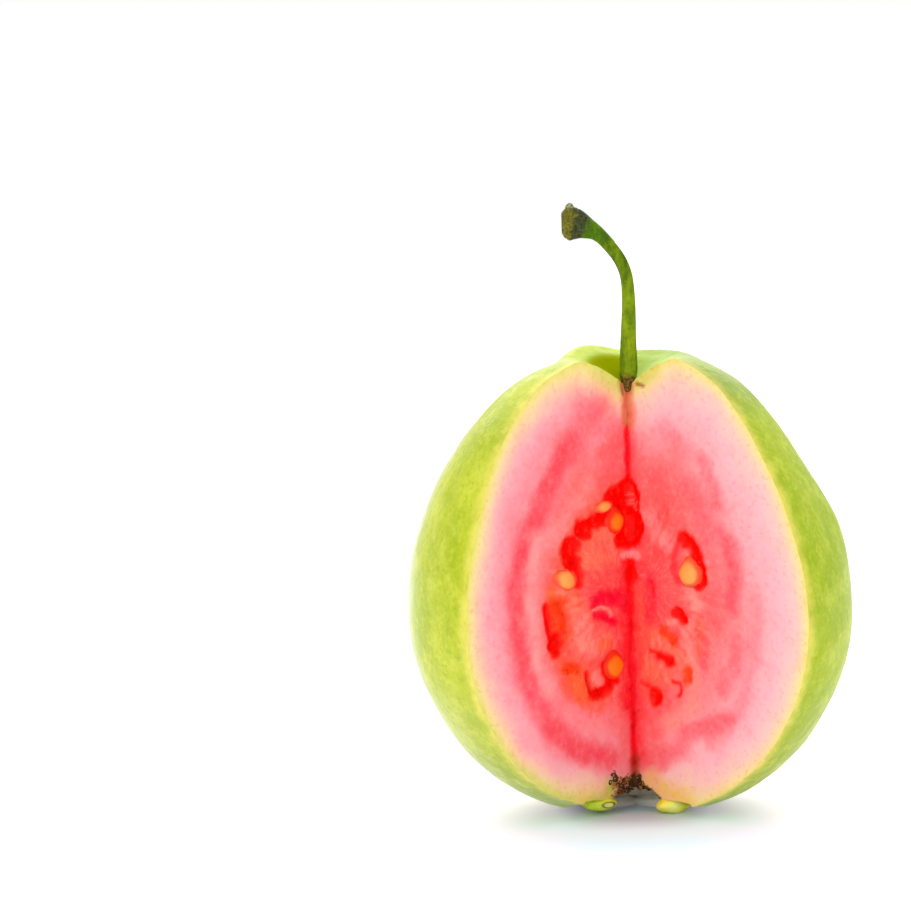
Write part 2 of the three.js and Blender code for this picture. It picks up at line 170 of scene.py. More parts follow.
# Strokes of colour on a cut face: tissue, strength, width, softness of its edge, and the line of
# places, each as distance from the axis and height, that it follows. Later ones lie over earlier ones.
LEFT_STROKES = [
    ("rose", 0.4, 4.2, 3.6, [(5.5, 66.6), (9.5, 63.2), (12.5, 60.6)]),
    ("rose", 0.95, 3.8, 3.0, [
        (12.5, 60.6), (15, 58), (17.5, 54.5), (20, 50.3), (22.5, 46), (24.2, 42),
        (25, 38), (25, 34), (24.6, 30), (23.6, 25.5), (21.7, 21.2), (19.5, 17.8), (17, 15), (14, 12.6),
        (11, 11), (8.5, 10.2), (5.5, 9.2)]),
    ("rose", 0.6, 2.2, 1.8, [(20, 50.3), (22.5, 46), (24.2, 42)]),
    ("rose", 0.6, 2.6, 2.0, [(17, 15), (14, 12.6), (11, 11)]),
    ("rose", 0.35, 5.5, 4.5, [(10, 66), (5, 64), (3, 62)]),
    ("pale_rose", 0.75, 2.6, 2.2, [(20.6, 46.5), (21.6, 40), (21.8, 34), (20.8, 27), (18.6, 22)]),
    ("pale_rose", 0.6, 3.4, 3.0, [(18.5, 45.5), (14, 47.5), (9, 53.5)]),
    ("flesh_red", 0.6, 7.0, 6.0, [(0, 60), (3, 55), (3, 52)]),
    ("flesh_red", 0.5, 2.2, 2.0, [(2.5, 60.4), (5.5, 58.6)]),
    ("flesh_red", 0.45, 5.0, 4.5, [(1, 9), (1.5, 18)]),
    ("coral", 0.9, 7.2, 2.4, [
        (3.5, 49.5), (9, 46), (13, 41), (15.4, 35.5), (15, 29.5), (12.5, 23.5), (8, 21)]),
    ("flesh_red", 0.85, 9.0, 4.0, [(5, 41), (6, 27)]),
    ("apricot", 0.9, 6.0, 3.0, [(3.5, 44), (8, 42.8)]),
    ("apricot", 0.7, 3.6, 2.6, [(11, 34), (10, 28.5), (6, 28.3)]),
    ("apricot", 0.85, 3.6, 2.0, [(15.6, 36.9), (12.8, 35.4)]),
    ("orange", 0.8, 1.6, 1.2, [(17.6, 37.4), (17.2, 35.7), (15.2, 35.9)]),
    ("rust", 0.95, 3.8, 1.8, [(16.6, 34.6), (16.2, 32.4), (15.6, 30.4)]),
    ("rust", 0.9, 1.7, 1.0, [(15.0, 24.9), (12.4, 24.7)]),
    ("orange", 0.95, 3.4, 1.6, [(12.6, 23.4), (10.9, 20.5)]),
    ("orange", 0.85, 1.7, 1.2, [(7.2, 27.8), (5.0, 27.7)]),
    ("salmon", 0.75, 4.4, 3.2, [(11.5, 31.5), (9.5, 28.5)]),
    ("scarlet", 0.85, 3.6, 2.8, [(0.4, 42), (0.6, 18)]),
    ("magenta", 0.95, 2.6, 1.7, [(1.0, 34.6), (4.5, 35.3), (7.8, 35.0)]),
    ("magenta", 0.85, 1.4, 0.9, [(8.0, 32.9), (5.8, 32.4), (3.6, 31.5)]),
    # Painted highlight: a thin pale line across the wet magenta blotch.
    ("salmon", 0.95, 0.5, 0.4, [(8.7, 33.6), (6.6, 34.0), (5.0, 33.5), (4.2, 32.4)]),
    ("scarlet", 1.0, 1.5, 0.9, [(0, 62), (0, 7.8)]),
    ("claret", 1.0, 2.2, 1.0, [(0, 54.0), (1.4, 52.4), (4.8, 51.5)]),
    ("claret", 1.0, 4.0, 1.0, [(0.3, 51.6), (1.5, 50.2)]),
    ("claret", 1.0, 2.6, 0.9, [(4.8, 48.4), (8.0, 47.5), (10.9, 47.0)]),
    ("claret", 1.0, 1.9, 0.8, [(11.2, 46.5), (9.2, 45.9)]),
    ("claret", 1.0, 4.4, 0.9, [(0, 47.6), (0.7, 46.0)]),
    ("claret", 1.0, 2.4, 0.9, [(0, 44.4), (2.0, 44.7)]),
    ("claret", 0.9, 1.2, 0.8, [(0.2, 40.8), (0.5, 38.6), (0.2, 36.2)]),
    ("claret", 1.0, 3.7, 1.0, [(13.0, 44.6), (13.2, 43.0), (12.7, 41.9)]),
    ("claret", 0.85, 1.7, 1.4, [(11.8, 41.4), (11.0, 39.4), (11.6, 38.2)]),
    ("claret", 1.0, 1.3, 0.9, [(18.9, 35.2), (18.3, 32.4), (17.9, 30)]),
    ("claret", 1.0, 3.1, 1.0, [(16.9, 29.6), (16.6, 28.6)]),
    ("claret", 0.9, 0.9, 0.8, [(10.3, 23.6), (9.8, 21.6), (9.3, 20.4)]),
    ("claret", 1.0, 1.9, 1.1, [(9.0, 20.2), (7.0, 20.2), (5.2, 21.3)]),
    ("claret", 0.95, 1.2, 0.8, [(6.4, 24.6), (5.9, 23.0), (4.8, 22.0), (3.4, 21.7)]),
    ("salmon", 0.8, 1.6, 1.2, [(8.2, 23.0), (7.4, 21.9)]),
    ("pale_rose", 0.85, 1.3, 0.9, [(1.6, 41.9), (0, 41.8)]),
    ("maroon", 0.35, 0.5, 0.5, [(15.3, 44.5), (15.2, 42.6), (14.3, 40.9)]),
    ("maroon", 0.35, 0.5, 0.5, [(12.2, 47.4), (11.6, 46), (9.8, 45.1), (8.6, 45.3)]),
    ("maroon", 0.3, 0.5, 0.5, [(19.0, 33), (18.4, 29.6), (17.3, 27.6)]),
    ("maroon", 0.35, 0.5, 0.5, [(10.2, 22.6), (9.4, 20.2), (7.6, 19.2)]),
    ("maroon", 0.3, 0.6, 0.5, [(5.6, 51.7), (3.4, 52.5), (1.4, 53.9)]),
    ("russet", 0.75, 1.7, 1.3, [(0, 8.4), (0.1, 5.8)]),
    ("bark", 0.95, 1.5, 1.1, [(0, 5.4), (0.4, 4.4)]),
    ("moss", 0.55, 3.6, 3.2, [(1.8, 69.8), (5.5, 71.2)]),
    ("strand", 0.95, 2.6, 1.5, [(0.1, 69.5), (0.1, 63.5)]),
    ("cork", 0.8, 0.5, 0.5, [(1.1, 69.4), (0.9, 68.0)]),
    ("straw", 0.6, 3.4, 3.0, [(6.0, 3.6), (12, 3.0)]),
    ("moss", 0.85, 3.2, 2.2, [(5.3, 4.6), (6.0, 2.8), (10, 1.8)]),
    ("moss", 0.4, 3.0, 2.6, [(12, 2.4), (20, 5.4), (27, 11)]),
]
RIGHT_STROKES = [
    ("rose", 0.75, 3.0, 2.6, [(20.6, 44.5), (21, 41), (21.2, 38), (20.6, 35)]),
    ("rose", 0.5, 2.0, 2.0, [(18.3, 47), (20.2, 44)]),
    ("rose", 0.4, 2.6, 2.4, [(17.4, 36.5), (17.2, 32.5)]),
    ("rose", 0.3, 2.6, 2.4, [
        (25.8, 36), (25.4, 30), (24.6, 26), (23.3, 22), (21.5, 18.5), (19.2, 15.2), (16.2, 12.8)]),
    ("rose", 0.5, 2.8, 2.4, [(21.9, 29), (21, 25), (18.6, 21.5)]),
    ("rose", 0.5, 2.4, 2.2, [(15.2, 57.8), (17, 54.5), (18.2, 51)]),
    ("rose", 0.3, 3.2, 2.8, [(7.5, 62.4), (11.5, 59.2)]),
    ("rose", 0.65, 3.0, 2.2, [(19.6, 16.6), (15, 15), (10.8, 13.6)]),
    ("rose", 0.6, 3.4, 2.8, [(9.5, 11.2), (5, 9), (1.5, 8.2)]),
    ("rose", 0.45, 3.8, 3.2, [(12.5, 53.5), (15.2, 49.5), (16, 45.5)]),
    ("flesh_red", 0.5, 9.0, 7.5, [(3, 57), (5, 54), (6, 50), (5, 45)]),
    ("flesh_red", 0.65, 9.0, 6.0, [(4, 43), (4.5, 30), (4, 18), (2, 11)]),
    ("scarlet", 0.5, 2.6, 2.2, [(0, 62), (0, 43)]),
    ("scarlet", 0.6, 3.0, 2.6, [(0.2, 42), (0.2, 10)]),
    ("coral", 0.7, 4.0, 3.0, [(2.4, 35), (3.0, 26), (4.0, 20)]),
    ("pale_rose", 0.6, 2.8, 2.2, [(3.2, 48.5), (7.6, 44)]),
    ("salmon", 0.9, 2.8, 1.8, [(12.4, 36.2), (13.4, 34.5)]),
    ("salmon", 0.8, 2.6, 2.0, [(11.7, 30.6), (11.8, 26)]),
    ("salmon", 0.8, 3.2, 2.4, [(12.2, 24), (12.2, 18), (8, 15.2)]),
    ("salmon", 0.8, 1.3, 1.0, [(7.6, 31.2), (8.8, 31.4)]),
    ("apricot", 0.8, 3.4, 2.4, [(5, 28.6), (9.5, 25.6)]),
    ("apricot", 0.7, 3.0, 2.4, [(3.0, 23.6), (7.5, 22.6)]),
    ("coral", 0.8, 2.4, 1.8, [(13.8, 31.0), (14.6, 27.4)]),
    ("magenta", 0.5, 2.4, 2.0, [(3.9, 37.8), (4.3, 35), (3.6, 31.6)]),
    ("claret", 0.6, 0.8, 0.7, [(4.1, 37.6), (4.4, 36.4)]),
    ("scarlet", 0.55, 1.2, 1.0, [(9.6, 44.0), (9.0, 41.4), (9.1, 39.2), (9.9, 38.1)]),
    ("russet", 0.3, 1.2, 1.0, [(7.6, 48.8), (7.2, 46.6)]),
    ("rust", 0.8, 1.9, 1.3, [(6.6, 29.8), (8.6, 28.6)]),
    ("rust", 0.85, 1.9, 1.2, [(11.3, 23.8), (11.3, 22.6)]),
    ("rose", 0.6, 1.2, 1.0, [(15.2, 29.0), (14.8, 25.0)]),
    ("claret", 1.0, 2.4, 1.0, [(10.9, 45.0), (12.4, 44.2), (13.4, 42.6)]),
    ("claret", 1.0, 1.9, 0.9, [(13.4, 42.6), (14.3, 40.6), (14.6, 38.6), (13.8, 37.9)]),
    ("maroon", 0.35, 0.5, 0.5, [(10.1, 46.2), (12.4, 45.6), (13.9, 43.6), (15.4, 40.4), (15.5, 38)]),
    # Painted shade: a dark line under the right seed.
    ("cork", 0.8, 0.4, 0.4, [(11.0, 37.7), (12.2, 37.4), (13.2, 37.6)]),
    ("claret", 1.0, 1.9, 0.8, [(9.3, 32.9), (10.6, 32.0)]),
    ("maroon", 0.3, 0.5, 0.5, [(8.6, 33.0), (9.3, 33.8)]),
    ("claret", 0.95, 1.7, 1.1, [(5.8, 25.6), (8.0, 24.9)]),
    ("claret", 0.7, 0.6, 0.6, [(3.6, 26.5), (5.4, 26.2)]),
    ("claret", 0.75, 0.7, 0.7, [(8.4, 21.9), (9.5, 21.6), (9.8, 20.6), (9.3, 19.7)]),
    ("claret", 1.0, 2.1, 1.1, [(4.4, 19.4), (4.9, 18.5)]),
    ("claret", 0.6, 0.8, 0.8, [(4.2, 20.2), (1.8, 21.2)]),
    ("scarlet", 0.9, 0.7, 0.6, [(0, 62), (0, 7.8)]),
    ("claret", 1.0, 3.0, 0.8, [(0, 53.0), (0.4, 51.4), (0.3, 49.6)]),
    ("claret", 1.0, 3.9, 0.8, [(0.3, 47.8), (0.8, 46.6), (0.3, 45.2)]),
    ("claret", 0.9, 1.5, 0.9, [(0.0, 40.8), (0.3, 38.4)]),
    ("russet", 0.75, 1.7, 1.3, [(0, 8.4), (0.1, 5.8)]),
    ("bark", 0.95, 1.5, 1.1, [(0, 5.4), (0.3, 4.4)]),
    ("cream", 0.8, 0.6, 0.5, [(1.0, 5.4), (1.3, 5.2)]),
    ("moss", 0.6, 3.4, 3.0, [(1.8, 69.8), (5.5, 71.4)]),
    ("strand", 0.95, 2.4, 1.5, [(0.1, 69.5), (0.1, 63.5)]),
    ("salmon", 0.6, 0.35, 0.35, [(0.1, 52.0), (0.5, 51.2), (0.1, 50.4), (0.6, 49.6)]),
    ("salmon", 0.6, 0.4, 0.35, [(0.9, 50.6), (0.7, 49.8), (1.2, 49.2)]),
    ("pale_rose", 0.85, 1.4, 1.0, [(0.0, 42.1), (1.4, 41.9)]),
    ("cork", 0.8, 0.7, 0.5, [(2.1, 69.5), (3.4, 69.3)]),
    ("bark", 0.9, 0.4, 0.3, [(28.3, 11.6), (28.5, 11.6)]),
    ("straw", 0.95, 4.2, 3.0, [(3.0, 4.6), (6.5, 3.4), (10, 2.6)]),
]

STROKES = {-1: LEFT_STROKES, 1: RIGHT_STROKES}
FLESH = {-1: LEFT_FLESH, 1: RIGHT_FLESH}
WET_TISSUES = ("claret", "scarlet", "magenta", "rust")
DEEP_FLESH = (252.0, 120.0, 120.0)

# Dried stamens: the pad, the threads that hang from the cup, and the curls on each cut face, with
# how many there are, their nearest and furthest from the axis, and their lowest and highest.
PAD_RADIUS, PAD_LOW, PAD_HIGH = 1.6, 3.9, 5.9
THREAD_COUNT, THREAD_REACH, THREAD_WANDER, THREAD_DROP = 54, 2.9, 0.42, 0.08
CURLS = {-1: (40, 0.8, 5.2, 3.9, 7.0), 1: (8, 0.3, 1.8, 4.2, 6.0)}
CURL_STEP = 0.42
GOLDEN_TURN = math.radians(137.5)

# ---- How finely the pieces are made ----

SPIN_STEPS = 272
OUTLINE_STEPS = 146
SKIN_INSET = 0.3

# The knife's sheet: the step of its fine part, how far that reaches out, its lowest and highest row, and
# the reach, the bottom and the top of the whole sheet, and the point in front that closes it.
FACE_STEP, FACE_REACH, FACE_LOW, FACE_HIGH = 0.31, 38.6, 0.2, 76
WEDGE_REACH, WEDGE_BOTTOM, WEDGE_TOP = 60.0, -130.0, 200.0
WEDGE_POINT = (0, -75, 38)


# ---- Small helpers ----

def deselect():
    bpy.ops.object.select_all(action="DESELECT")


def pick(piece):
    """Selects one piece alone and makes it the active one."""
    deselect()
    piece.select_set(True)
    bpy.context.view_layer.objects.active = piece


def taken(name):
    """The object an operator has just made, under its own name."""
    piece = bpy.context.view_layer.objects.active
    piece.name = name
    piece.data.name = name
    return piece


def triples(items, name):
    """One vector property of all the items of a mesh, as rows."""
    flat = np.empty(len(items) * 3)
    items.foreach_get(name, flat)
    return flat.reshape(-1, 3)


def round_axis(points):
    """Places in metres, in millimetres round the fruit's axis."""
    return points / MM - (*AXIS, 0.0)


def vertices(piece):
    """The piece's vertices in millimetres round the fruit's axis."""
    return round_axis(triples(piece.data.vertices, "co"))


def put_vertices(piece, points):
    """Moves the piece's vertices to points in millimetres round the fruit's axis."""
    flat = ((points + (*AXIS, 0.0)) * MM).reshape(-1)
    piece.data.vertices.foreach_set("co", flat)
    piece.data.update()


def ball(name, segments, rings):
    """A round primitive of radius 1, with its vertices and the ring that each lies on, 0 at the top."""
    deselect()
    bpy.ops.mesh.primitive_uv_sphere_add(segments=segments, ring_count=rings, radius=1, location=(0, 0, 0))
    piece = taken(name)
    flat = triples(piece.data.vertices, "co")
    ring = np.rint(np.arccos(np.clip(flat[:, 2], -1, 1)) / math.pi * rings).astype(int)
    return piece, flat, ring


def tube(name, line, halves, sides, ridges=None):
    """A round primitive drawn out along a line, halves thick there across the view and along it."""
    piece, flat, ring = ball(name, sides, len(line) + 1)
    at = np.clip(ring - 1, 0, len(line) - 1)
    tangent = np.gradient(np.asarray(line, float), axis=0)
    tangent /= np.linalg.norm(tangent, axis=1)[:, None]
    across = np.cross(tangent, (0.0, 1.0, 0.0))
    across /= np.linalg.norm(across, axis=1)[:, None]
    away = np.cross(across, tangent)
    turn = np.arctan2(flat[:, 1], flat[:, 0])
    size = np.where((ring == 0) | (ring == len(line) + 1), 0, 1.0)
    if ridges is not None:
        size = size * ridges(turn, at / (len(line) - 1))
    halves = np.asarray(halves, float)
    put_vertices(piece, np.asarray(line, float)[at]
                 + (np.cos(turn) * size * halves[at, 0])[:, None] * across[at]
                 + (np.sin(turn) * size * halves[at, 1])[:, None] * away[at])
    clean(piece)
    return piece


def clean(piece, merge=1e-7):
    """Merges doubled vertices and points every face outwards."""
    pick(piece)
    bpy.ops.object.mode_set(mode="EDIT")
    bpy.ops.mesh.select_all(action="SELECT")
    bpy.ops.mesh.remove_doubles(threshold=merge)
    bpy.ops.mesh.normals_make_consistent(inside=False)
    bpy.ops.object.mode_set(mode="OBJECT")


def smooth(piece, degrees):
    """Shades the piece smooth, apart from edges sharper than the angle."""
    pick(piece)
    bpy.ops.object.shade_smooth_by_angle(angle=math.radians(degrees))


def catmull(points, steps):
    """Points along a uniform Catmull-Rom curve through the given ones."""
    points = np.array(points, float)
    last = len(points) - 1
    t = np.linspace(0, last, steps + 1)
    i = np.minimum(t.astype(int), last)
    w = (t - i)[:, None]
    p0, p1 = points[np.maximum(i - 1, 0)], points[i]
    p2, p3 = points[np.minimum(i + 1, last)], points[np.minimum(i + 2, last)]
    v0, v1 = (p2 - p0) / 2, (p3 - p1) / 2
    return (2 * p1 - 2 * p2 + v0 + v1) * w**3 + (3 * p2 - 3 * p1 - 2 * v0 - v1) * w**2 + v0 * w + p1


def smoothstep(x, low, high):
    """From 0 to 1 as x goes from low to high, eased at both ends."""
    t = np.clip((np.asarray(x) - low) / (high - low), 0, 1)
    return t * t * (3 - 2 * t)


def rough(points, size, seed=0.0):
    """Smooth noise from -1 to 1 whose waves are about size millimetres long."""
    return np.array([noise.noise(Vector(p) / size + Vector((seed, seed, seed))) for p in points])


def attribute(piece, name, values):
    """Keeps one value for each vertex, for the piece's material to read."""
    layer = piece.data.attributes.new(name, "FLOAT", "POINT")
    layer.data.foreach_set("value", np.asarray(values, np.float32))


# ---- The fruit's form ----

def half_outline(steps):
    """The whole half outline, from the socket round to the top of the calyx cup."""
    return np.vstack((SOCKET, catmull(OUTLINE, steps), CALYX_CUP))


def swollen(points):
    """Points of the round body, pushed out by its swellings and ribs and stood on its sloping base."""
    radius = np.hypot(points[:, 0], points[:, 1])
    outward = points - MIDDLE
    outward /= np.linalg.norm(outward, axis=1)[:, None]
    turn = np.arctan2(points[:, 0], -points[:, 1])
    out = RIB_HEIGHT * smoothstep(radius, 8, 16) * np.cos(RIB_COUNT * turn + RIB_TURN)
    for at, height, width in SWELLINGS:
        out += height * np.exp(-((points - at) ** 2).sum(axis=1) / width**2)
    moved = points + outward * out[:, None]
    return np.where((radius > OUTLINE[0][0] + 1e-4)[:, None], settled(moved), points)


def settled(points):
    """Points near the base, stood on the slope that the fruit rests on, and flattened where they touch it."""
    fade = np.clip(1 - points[:, 2] / BASE_FADE, 0, 1)
    points[:, 2] = np.maximum(points[:, 2] - BASE_SLOPE * points[:, 1] * fade, 0)
    return points


def unevenness(points):
    """How far the real skin lies inside the smooth form: shallow dents, and a fine orange peel."""
    dents = rough(points, 11.0, 3.1) * 0.16 + rough(points, 5.0, 7.7) * 0.07
    peel = rough(points, 2.2, 1.3) * 0.05 + rough(points, 0.9, 1.9) * 0.02
    return SKIN_INSET + dents + peel


def on_face(side, r, z, depth):
    """A place on a cut face, -1 the left one and 1 the right one, sunk by depth into the flesh."""
    sine, cosine = math.sin(HALF_WEDGE), math.cos(HALF_WEDGE)
    return np.stack((side * (r * sine + depth * cosine), depth * sine - r * cosine, z), axis=-1)


def hollows(shapes, r, z):
    """How deep a list of rounded shapes sinks a cut face, or lifts it, in millimetres."""
    depth = np.zeros_like(r)
    for at_r, at_z, wide, high, deep, turn in shapes:
        turn = math.radians(turn)
        across = (r - at_r) * math.cos(turn) - (z - at_z) * math.sin(turn)
        along = (r - at_r) * math.sin(turn) + (z - at_z) * math.cos(turn)
        q = (2 * across / wide) ** 2 + (2 * along / high) ** 2
        depth = np.maximum(depth, deep * smoothstep(1.15 - q, 0, 1))
    return depth


def chamber_share(r, z):
    """How far a place lies inside the seed chamber in the middle of the fruit, from 0 to 1."""
    (at_r, at_z), (half_r, half_z) = CHAMBER_MIDDLE, CHAMBER_HALF
    return smoothstep(1.0 - np.hypot((r - at_r) / half_r, (z - at_z) / half_z), 0.0, 0.18)


def cobbles(spots, size):
    """Rounded lumps about size millimetres wide, from 0 in the grooves between them to 1 on top."""
    lumps = np.empty(len(spots))
    for i, spot in enumerate(spots):
        near, next_near = noise.voronoi(Vector(spot) / size)[0][:2]
        lumps[i] = next_near - near
    return smoothstep(lumps, 0.0, 0.45)


def face_spots(side, r, z):
    """Where noise is read for places on a cut face, so that the two faces differ."""
    return np.stack((r, np.full_like(r, 9.0 * side), z), axis=-1)


def face_relief(side, r, z):
    """How deep the real cut lies behind the flat one: pockets, lumps of gel, knife waves and grain."""
    spots = face_spots(side, r, z)
    bent_r = r + 0.5 * rough(spots, 2.3, 21.1) + 0.15 * rough(spots, 0.9, 23.1)
    bent_z = z + 0.5 * rough(spots, 2.3, 22.1) + 0.15 * rough(spots, 0.9, 24.1)
    depth = PIT_DEPTH * hollows(PITS[side], bent_r, bent_z) - hollows(LUMPS[side], bent_r, bent_z)
    chamber = chamber_share(r, z)
    cells = np.zeros_like(r)
    here = chamber > 0
    cells[here] = cobbles(spots[here], 1.9)
    gel = 0.16 * chamber * (1 - cells)
    waves = 0.06 * rough(spots, 7.0, 2.2)
    grain = (0.02 + 0.06 * chamber) * rough(spots, 1.5, 4.4) + 0.012 * rough(spots, 0.6, 5.9)
    return depth + 0.1 + waves + grain + gel


# ---- The fruit ----

def whole_body():
    """The whole fruit before the cut: a ball whose rings follow the outline, then swollen and dented."""
    outline = half_outline(OUTLINE_STEPS)
    body, flat, ring = ball("guava_fruit", SPIN_STEPS, len(outline) - 1)
    turn = np.arctan2(flat[:, 1], flat[:, 0])
    r, z = outline[ring, 0], outline[ring, 1]
    points = np.stack((r * np.cos(turn), r * np.sin(turn), z), axis=-1)
    moved = swollen(points)
    outer = (r > OUTLINE[0][0] + 0.05) & (moved[:, 2] > 0.01)
    inward = MIDDLE - moved
    inward /= np.linalg.norm(inward, axis=1)[:, None]
    moved[outer] += inward[outer] * unevenness(moved[outer])[:, None]
    put_vertices(body, moved)
    clean(body)
    return body


def knife():
    """The wedge that the knife took out: one sheet folded along the axis, closed to a point in front."""
    half = np.arange(0, FACE_REACH, FACE_STEP)
    columns = np.concatenate((-half[:0:-1], half))
    columns = np.concatenate(([-WEDGE_REACH], columns, [WEDGE_REACH]))
    rows = np.concatenate(([WEDGE_BOTTOM], np.arange(FACE_LOW, FACE_HIGH, FACE_STEP), [WEDGE_TOP]))
    deselect()
    bpy.ops.mesh.primitive_grid_add(
        x_subdivisions=len(columns) - 1, y_subdivisions=len(rows) - 1, size=2, location=(0, 0, 0)
    )
    sheet = taken("knife")
    flat = triples(sheet.data.vertices, "co")
    column = columns[np.rint((flat[:, 0] + 1) / 2 * (len(columns) - 1)).astype(int)]
    row = rows[np.rint((flat[:, 1] + 1) / 2 * (len(rows) - 1)).astype(int)]
    side = np.where(column < 0, -1, 1)
    r, z = np.abs(column), row
    points = np.empty((len(r), 3))
    for one in (-1, 1):
        here = side == one
        fine = (r[here] < WEDGE_REACH) & (z[here] > WEDGE_BOTTOM) & (z[here] < WEDGE_TOP)
        relief = np.where(fine, face_relief(one, r[here], z[here]), 0)
        points[here] = on_face(one, r[here], z[here], relief)
    wave = rough(np.stack((z * 0, z * 0, z), axis=-1), 3.0, 8.8)
    groove = 0.1 + smoothstep(z, 12, 22) * smoothstep(66 - z, 0, 16) * (0.2 + 0.15 * wave)
    core = r < 0.01
    points[core] = np.stack((0.15 * wave[core], groove[core] + 0.1, z[core]), axis=-1)
    put_vertices(sheet, points)
    bpy.ops.object.mode_set(mode="EDIT")
    bpy.ops.mesh.select_all(action="SELECT")
    bpy.ops.mesh.region_to_loop()
    bpy.ops.mesh.extrude_region_move()
    bpy.ops.mesh.merge(type="COLLAPSE")
    bpy.ops.object.mode_set(mode="OBJECT")
    points = vertices(sheet)
    points[-1] = WEDGE_POINT
    put_vertices(sheet, points)
    clean(sheet)
    return sheet


def cut_open(body, sheet):
    """Takes the knife's wedge out of the body."""
    pick(body)
    cut = body.modifiers.new("cut", "BOOLEAN")
    cut.operation = "DIFFERENCE"
    cut.solver = "MANIFOLD"
    cut.object = sheet
    bpy.ops.object.modifier_apply(modifier=cut.name)
    bpy.data.objects.remove(sheet)


def outline_on(side, steps=500):
    """The skin's line and the calyx cup's line on one cut face, as distance from the axis and height."""
    outline = half_outline(steps)
    points = swollen(on_face(side, outline[:, 0], outline[:, 1], np.zeros(len(outline))))
    line = np.stack((np.hypot(points[:, 0], points[:, 1]), points[:, 2]), axis=-1)
    return line[len(SOCKET):-len(CALYX_CUP)], line[-len(CALYX_CUP):]


def distance_to(line, r, z):
    """Shortest way from each place on a face to a line, in millimetres."""
    best = np.full(len(r), 1e9)
    for (r0, z0), (r1, z1) in zip(line[:-1], line[1:]):
        length = max((r1 - r0) ** 2 + (z1 - z0) ** 2, 1e-12)
        t = np.clip(((r - r0) * (r1 - r0) + (z - z0) * (z1 - z0)) / length, 0, 1)
        best = np.minimum(best, (r - r0 - t * (r1 - r0)) ** 2 + (z - z0 - t * (z1 - z0)) ** 2)
    return np.sqrt(best)


def linearised(levels):
    """Colour levels from 0 to 255, as the shader wants them."""
    levels = np.clip(levels, 0, 255) / 255
    return np.where(levels > 0.04, ((levels + 0.055) / 1.055) ** 2.4, levels / 12.92)


def linear(red, green, blue):
    """One colour written as 0 to 255, as the shader wants it."""
    return (*linearised((red, green, blue)).tolist(), 1.0)


def flesh_colours(side, r, z, below, cup):
    """The colour of each place on a cut face, and how wet it is."""
    spots = face_spots(side, r, z)
    slow, quick = rough(spots, 6.0, 31.0), rough(spots, 1.6, 32.0)
    rim = 0.12 + 0.88 * smoothstep(below, 0, 5)
    deep = below + (1.8 * slow + 0.6 * quick) * rim
    deep *= 1 - 0.35 * smoothstep(20 - r, 0, 16) * smoothstep(16 - below, 0, 7)
    places, stops = zip(*FLESH[side])
    colours = np.stack([np.interp(deep, places, levels) for levels in zip(*stops)], axis=-1)
    bend_r = 0.6 * rough(spots, 2.6, 33.0) + 0.25 * rough(spots, 0.9, 34.0)
    bend_z = 0.6 * rough(spots, 2.6, 35.0) + 0.25 * rough(spots, 0.9, 36.0)
    patchy = rough(spots, 2.8, 37.0) + 0.6 * rough(spots, 1.1, 38.0)
    blotch = np.clip(0.85 + 0.45 * patchy, 0.2, 1)
    wet = np.zeros_like(r)
    for tissue, strength, width, soft, path in STROKES[side]:
        bend = min(1.0, width / 3)
        gap = distance_to(path, r + bend * bend_r, z + bend * bend_z) * (1 + 0.3 * patchy)
        cover = strength * (1 - smoothstep(gap, (width - soft) / 2, (width + soft) / 2))
        if soft > 1.4:
            cover = cover * blotch
        colours += (np.array(TISSUES[tissue]) - colours) * cover[:, None]
        if tissue in WET_TISSUES:
            wet = np.maximum(wet, cover)
    from_r, from_z = r - FIBRE_ROOT[0], z - FIBRE_ROOT[1]
    turn, out = np.arctan2(from_r, from_z), np.hypot(from_r, from_z)
    apart = np.full_like(r, 5.0 * side)
    fibre = rough(np.stack((turn * 13, apart, out / 3.4), axis=-1), 1.0, 40.0)
    fibre += 0.5 * rough(np.stack((turn * 30, apart, out / 2.0), axis=-1), 1.0, 41.0)
    share = (0.1 + 0.32 * smoothstep(19 - out, 0, 8)) * smoothstep(below, 3, 9) * (1 - wet)
    light, dark = np.array(TISSUES["salmon"]), np.array(TISSUES["flesh_red"])
    shift = np.clip(fibre * 1.6, -1, 1)[:, None]
    colours += share[:, None] * np.abs(shift) * (np.where(shift > 0, light, dark) - colours)
    edge = cup + 0.25 * rough(spots, 0.8, 39.0)
    lining = 1 - smoothstep(edge, 0.25, 0.6)
    colours += (np.array(TISSUES["bark"]) - colours) * lining[:, None]
    return colours, wet


def along_face(points):
    """For each place: -1 left or 1 right, how far out along that cut face, and how deep behind it."""
    side = np.where(points[:, 0] < 0, -1, 1)
    sine, cosine = math.sin(HALF_WEDGE), math.cos(HALF_WEDGE)
    r = side * points[:, 0] * sine - points[:, 1] * cosine
    return side, r, side * points[:, 0] * cosine + points[:, 1] * sine


def mark_flesh(body):
    """Keeps the flesh's colour at every vertex of the cut faces, and how wet it is there."""
    points = vertices(body)
    side, r, depth = along_face(points)
    tint = np.tile(DEEP_FLESH, (len(r), 1))
    wet = np.zeros(len(r))
    for one in (-1, 1):
        here = (side == one) & (depth < 3.4) & (r > -3)
        skin_line, cup_line = outline_on(one)
        z = points[here, 2]
        below = distance_to(skin_line, r[here], z)
        cup = distance_to(cup_line[3:], r[here], z)
        tint[here], wet[here] = flesh_colours(one, np.abs(r[here]), z, below, cup)
    attribute(body, "wet", wet)
    tint = np.hstack((linearised(tint), np.ones((len(r), 1))))
    layer = body.data.attributes.new("tint", "FLOAT_COLOR", "POINT")
    layer.data.foreach_set("color", tint.astype(np.float32).reshape(-1))


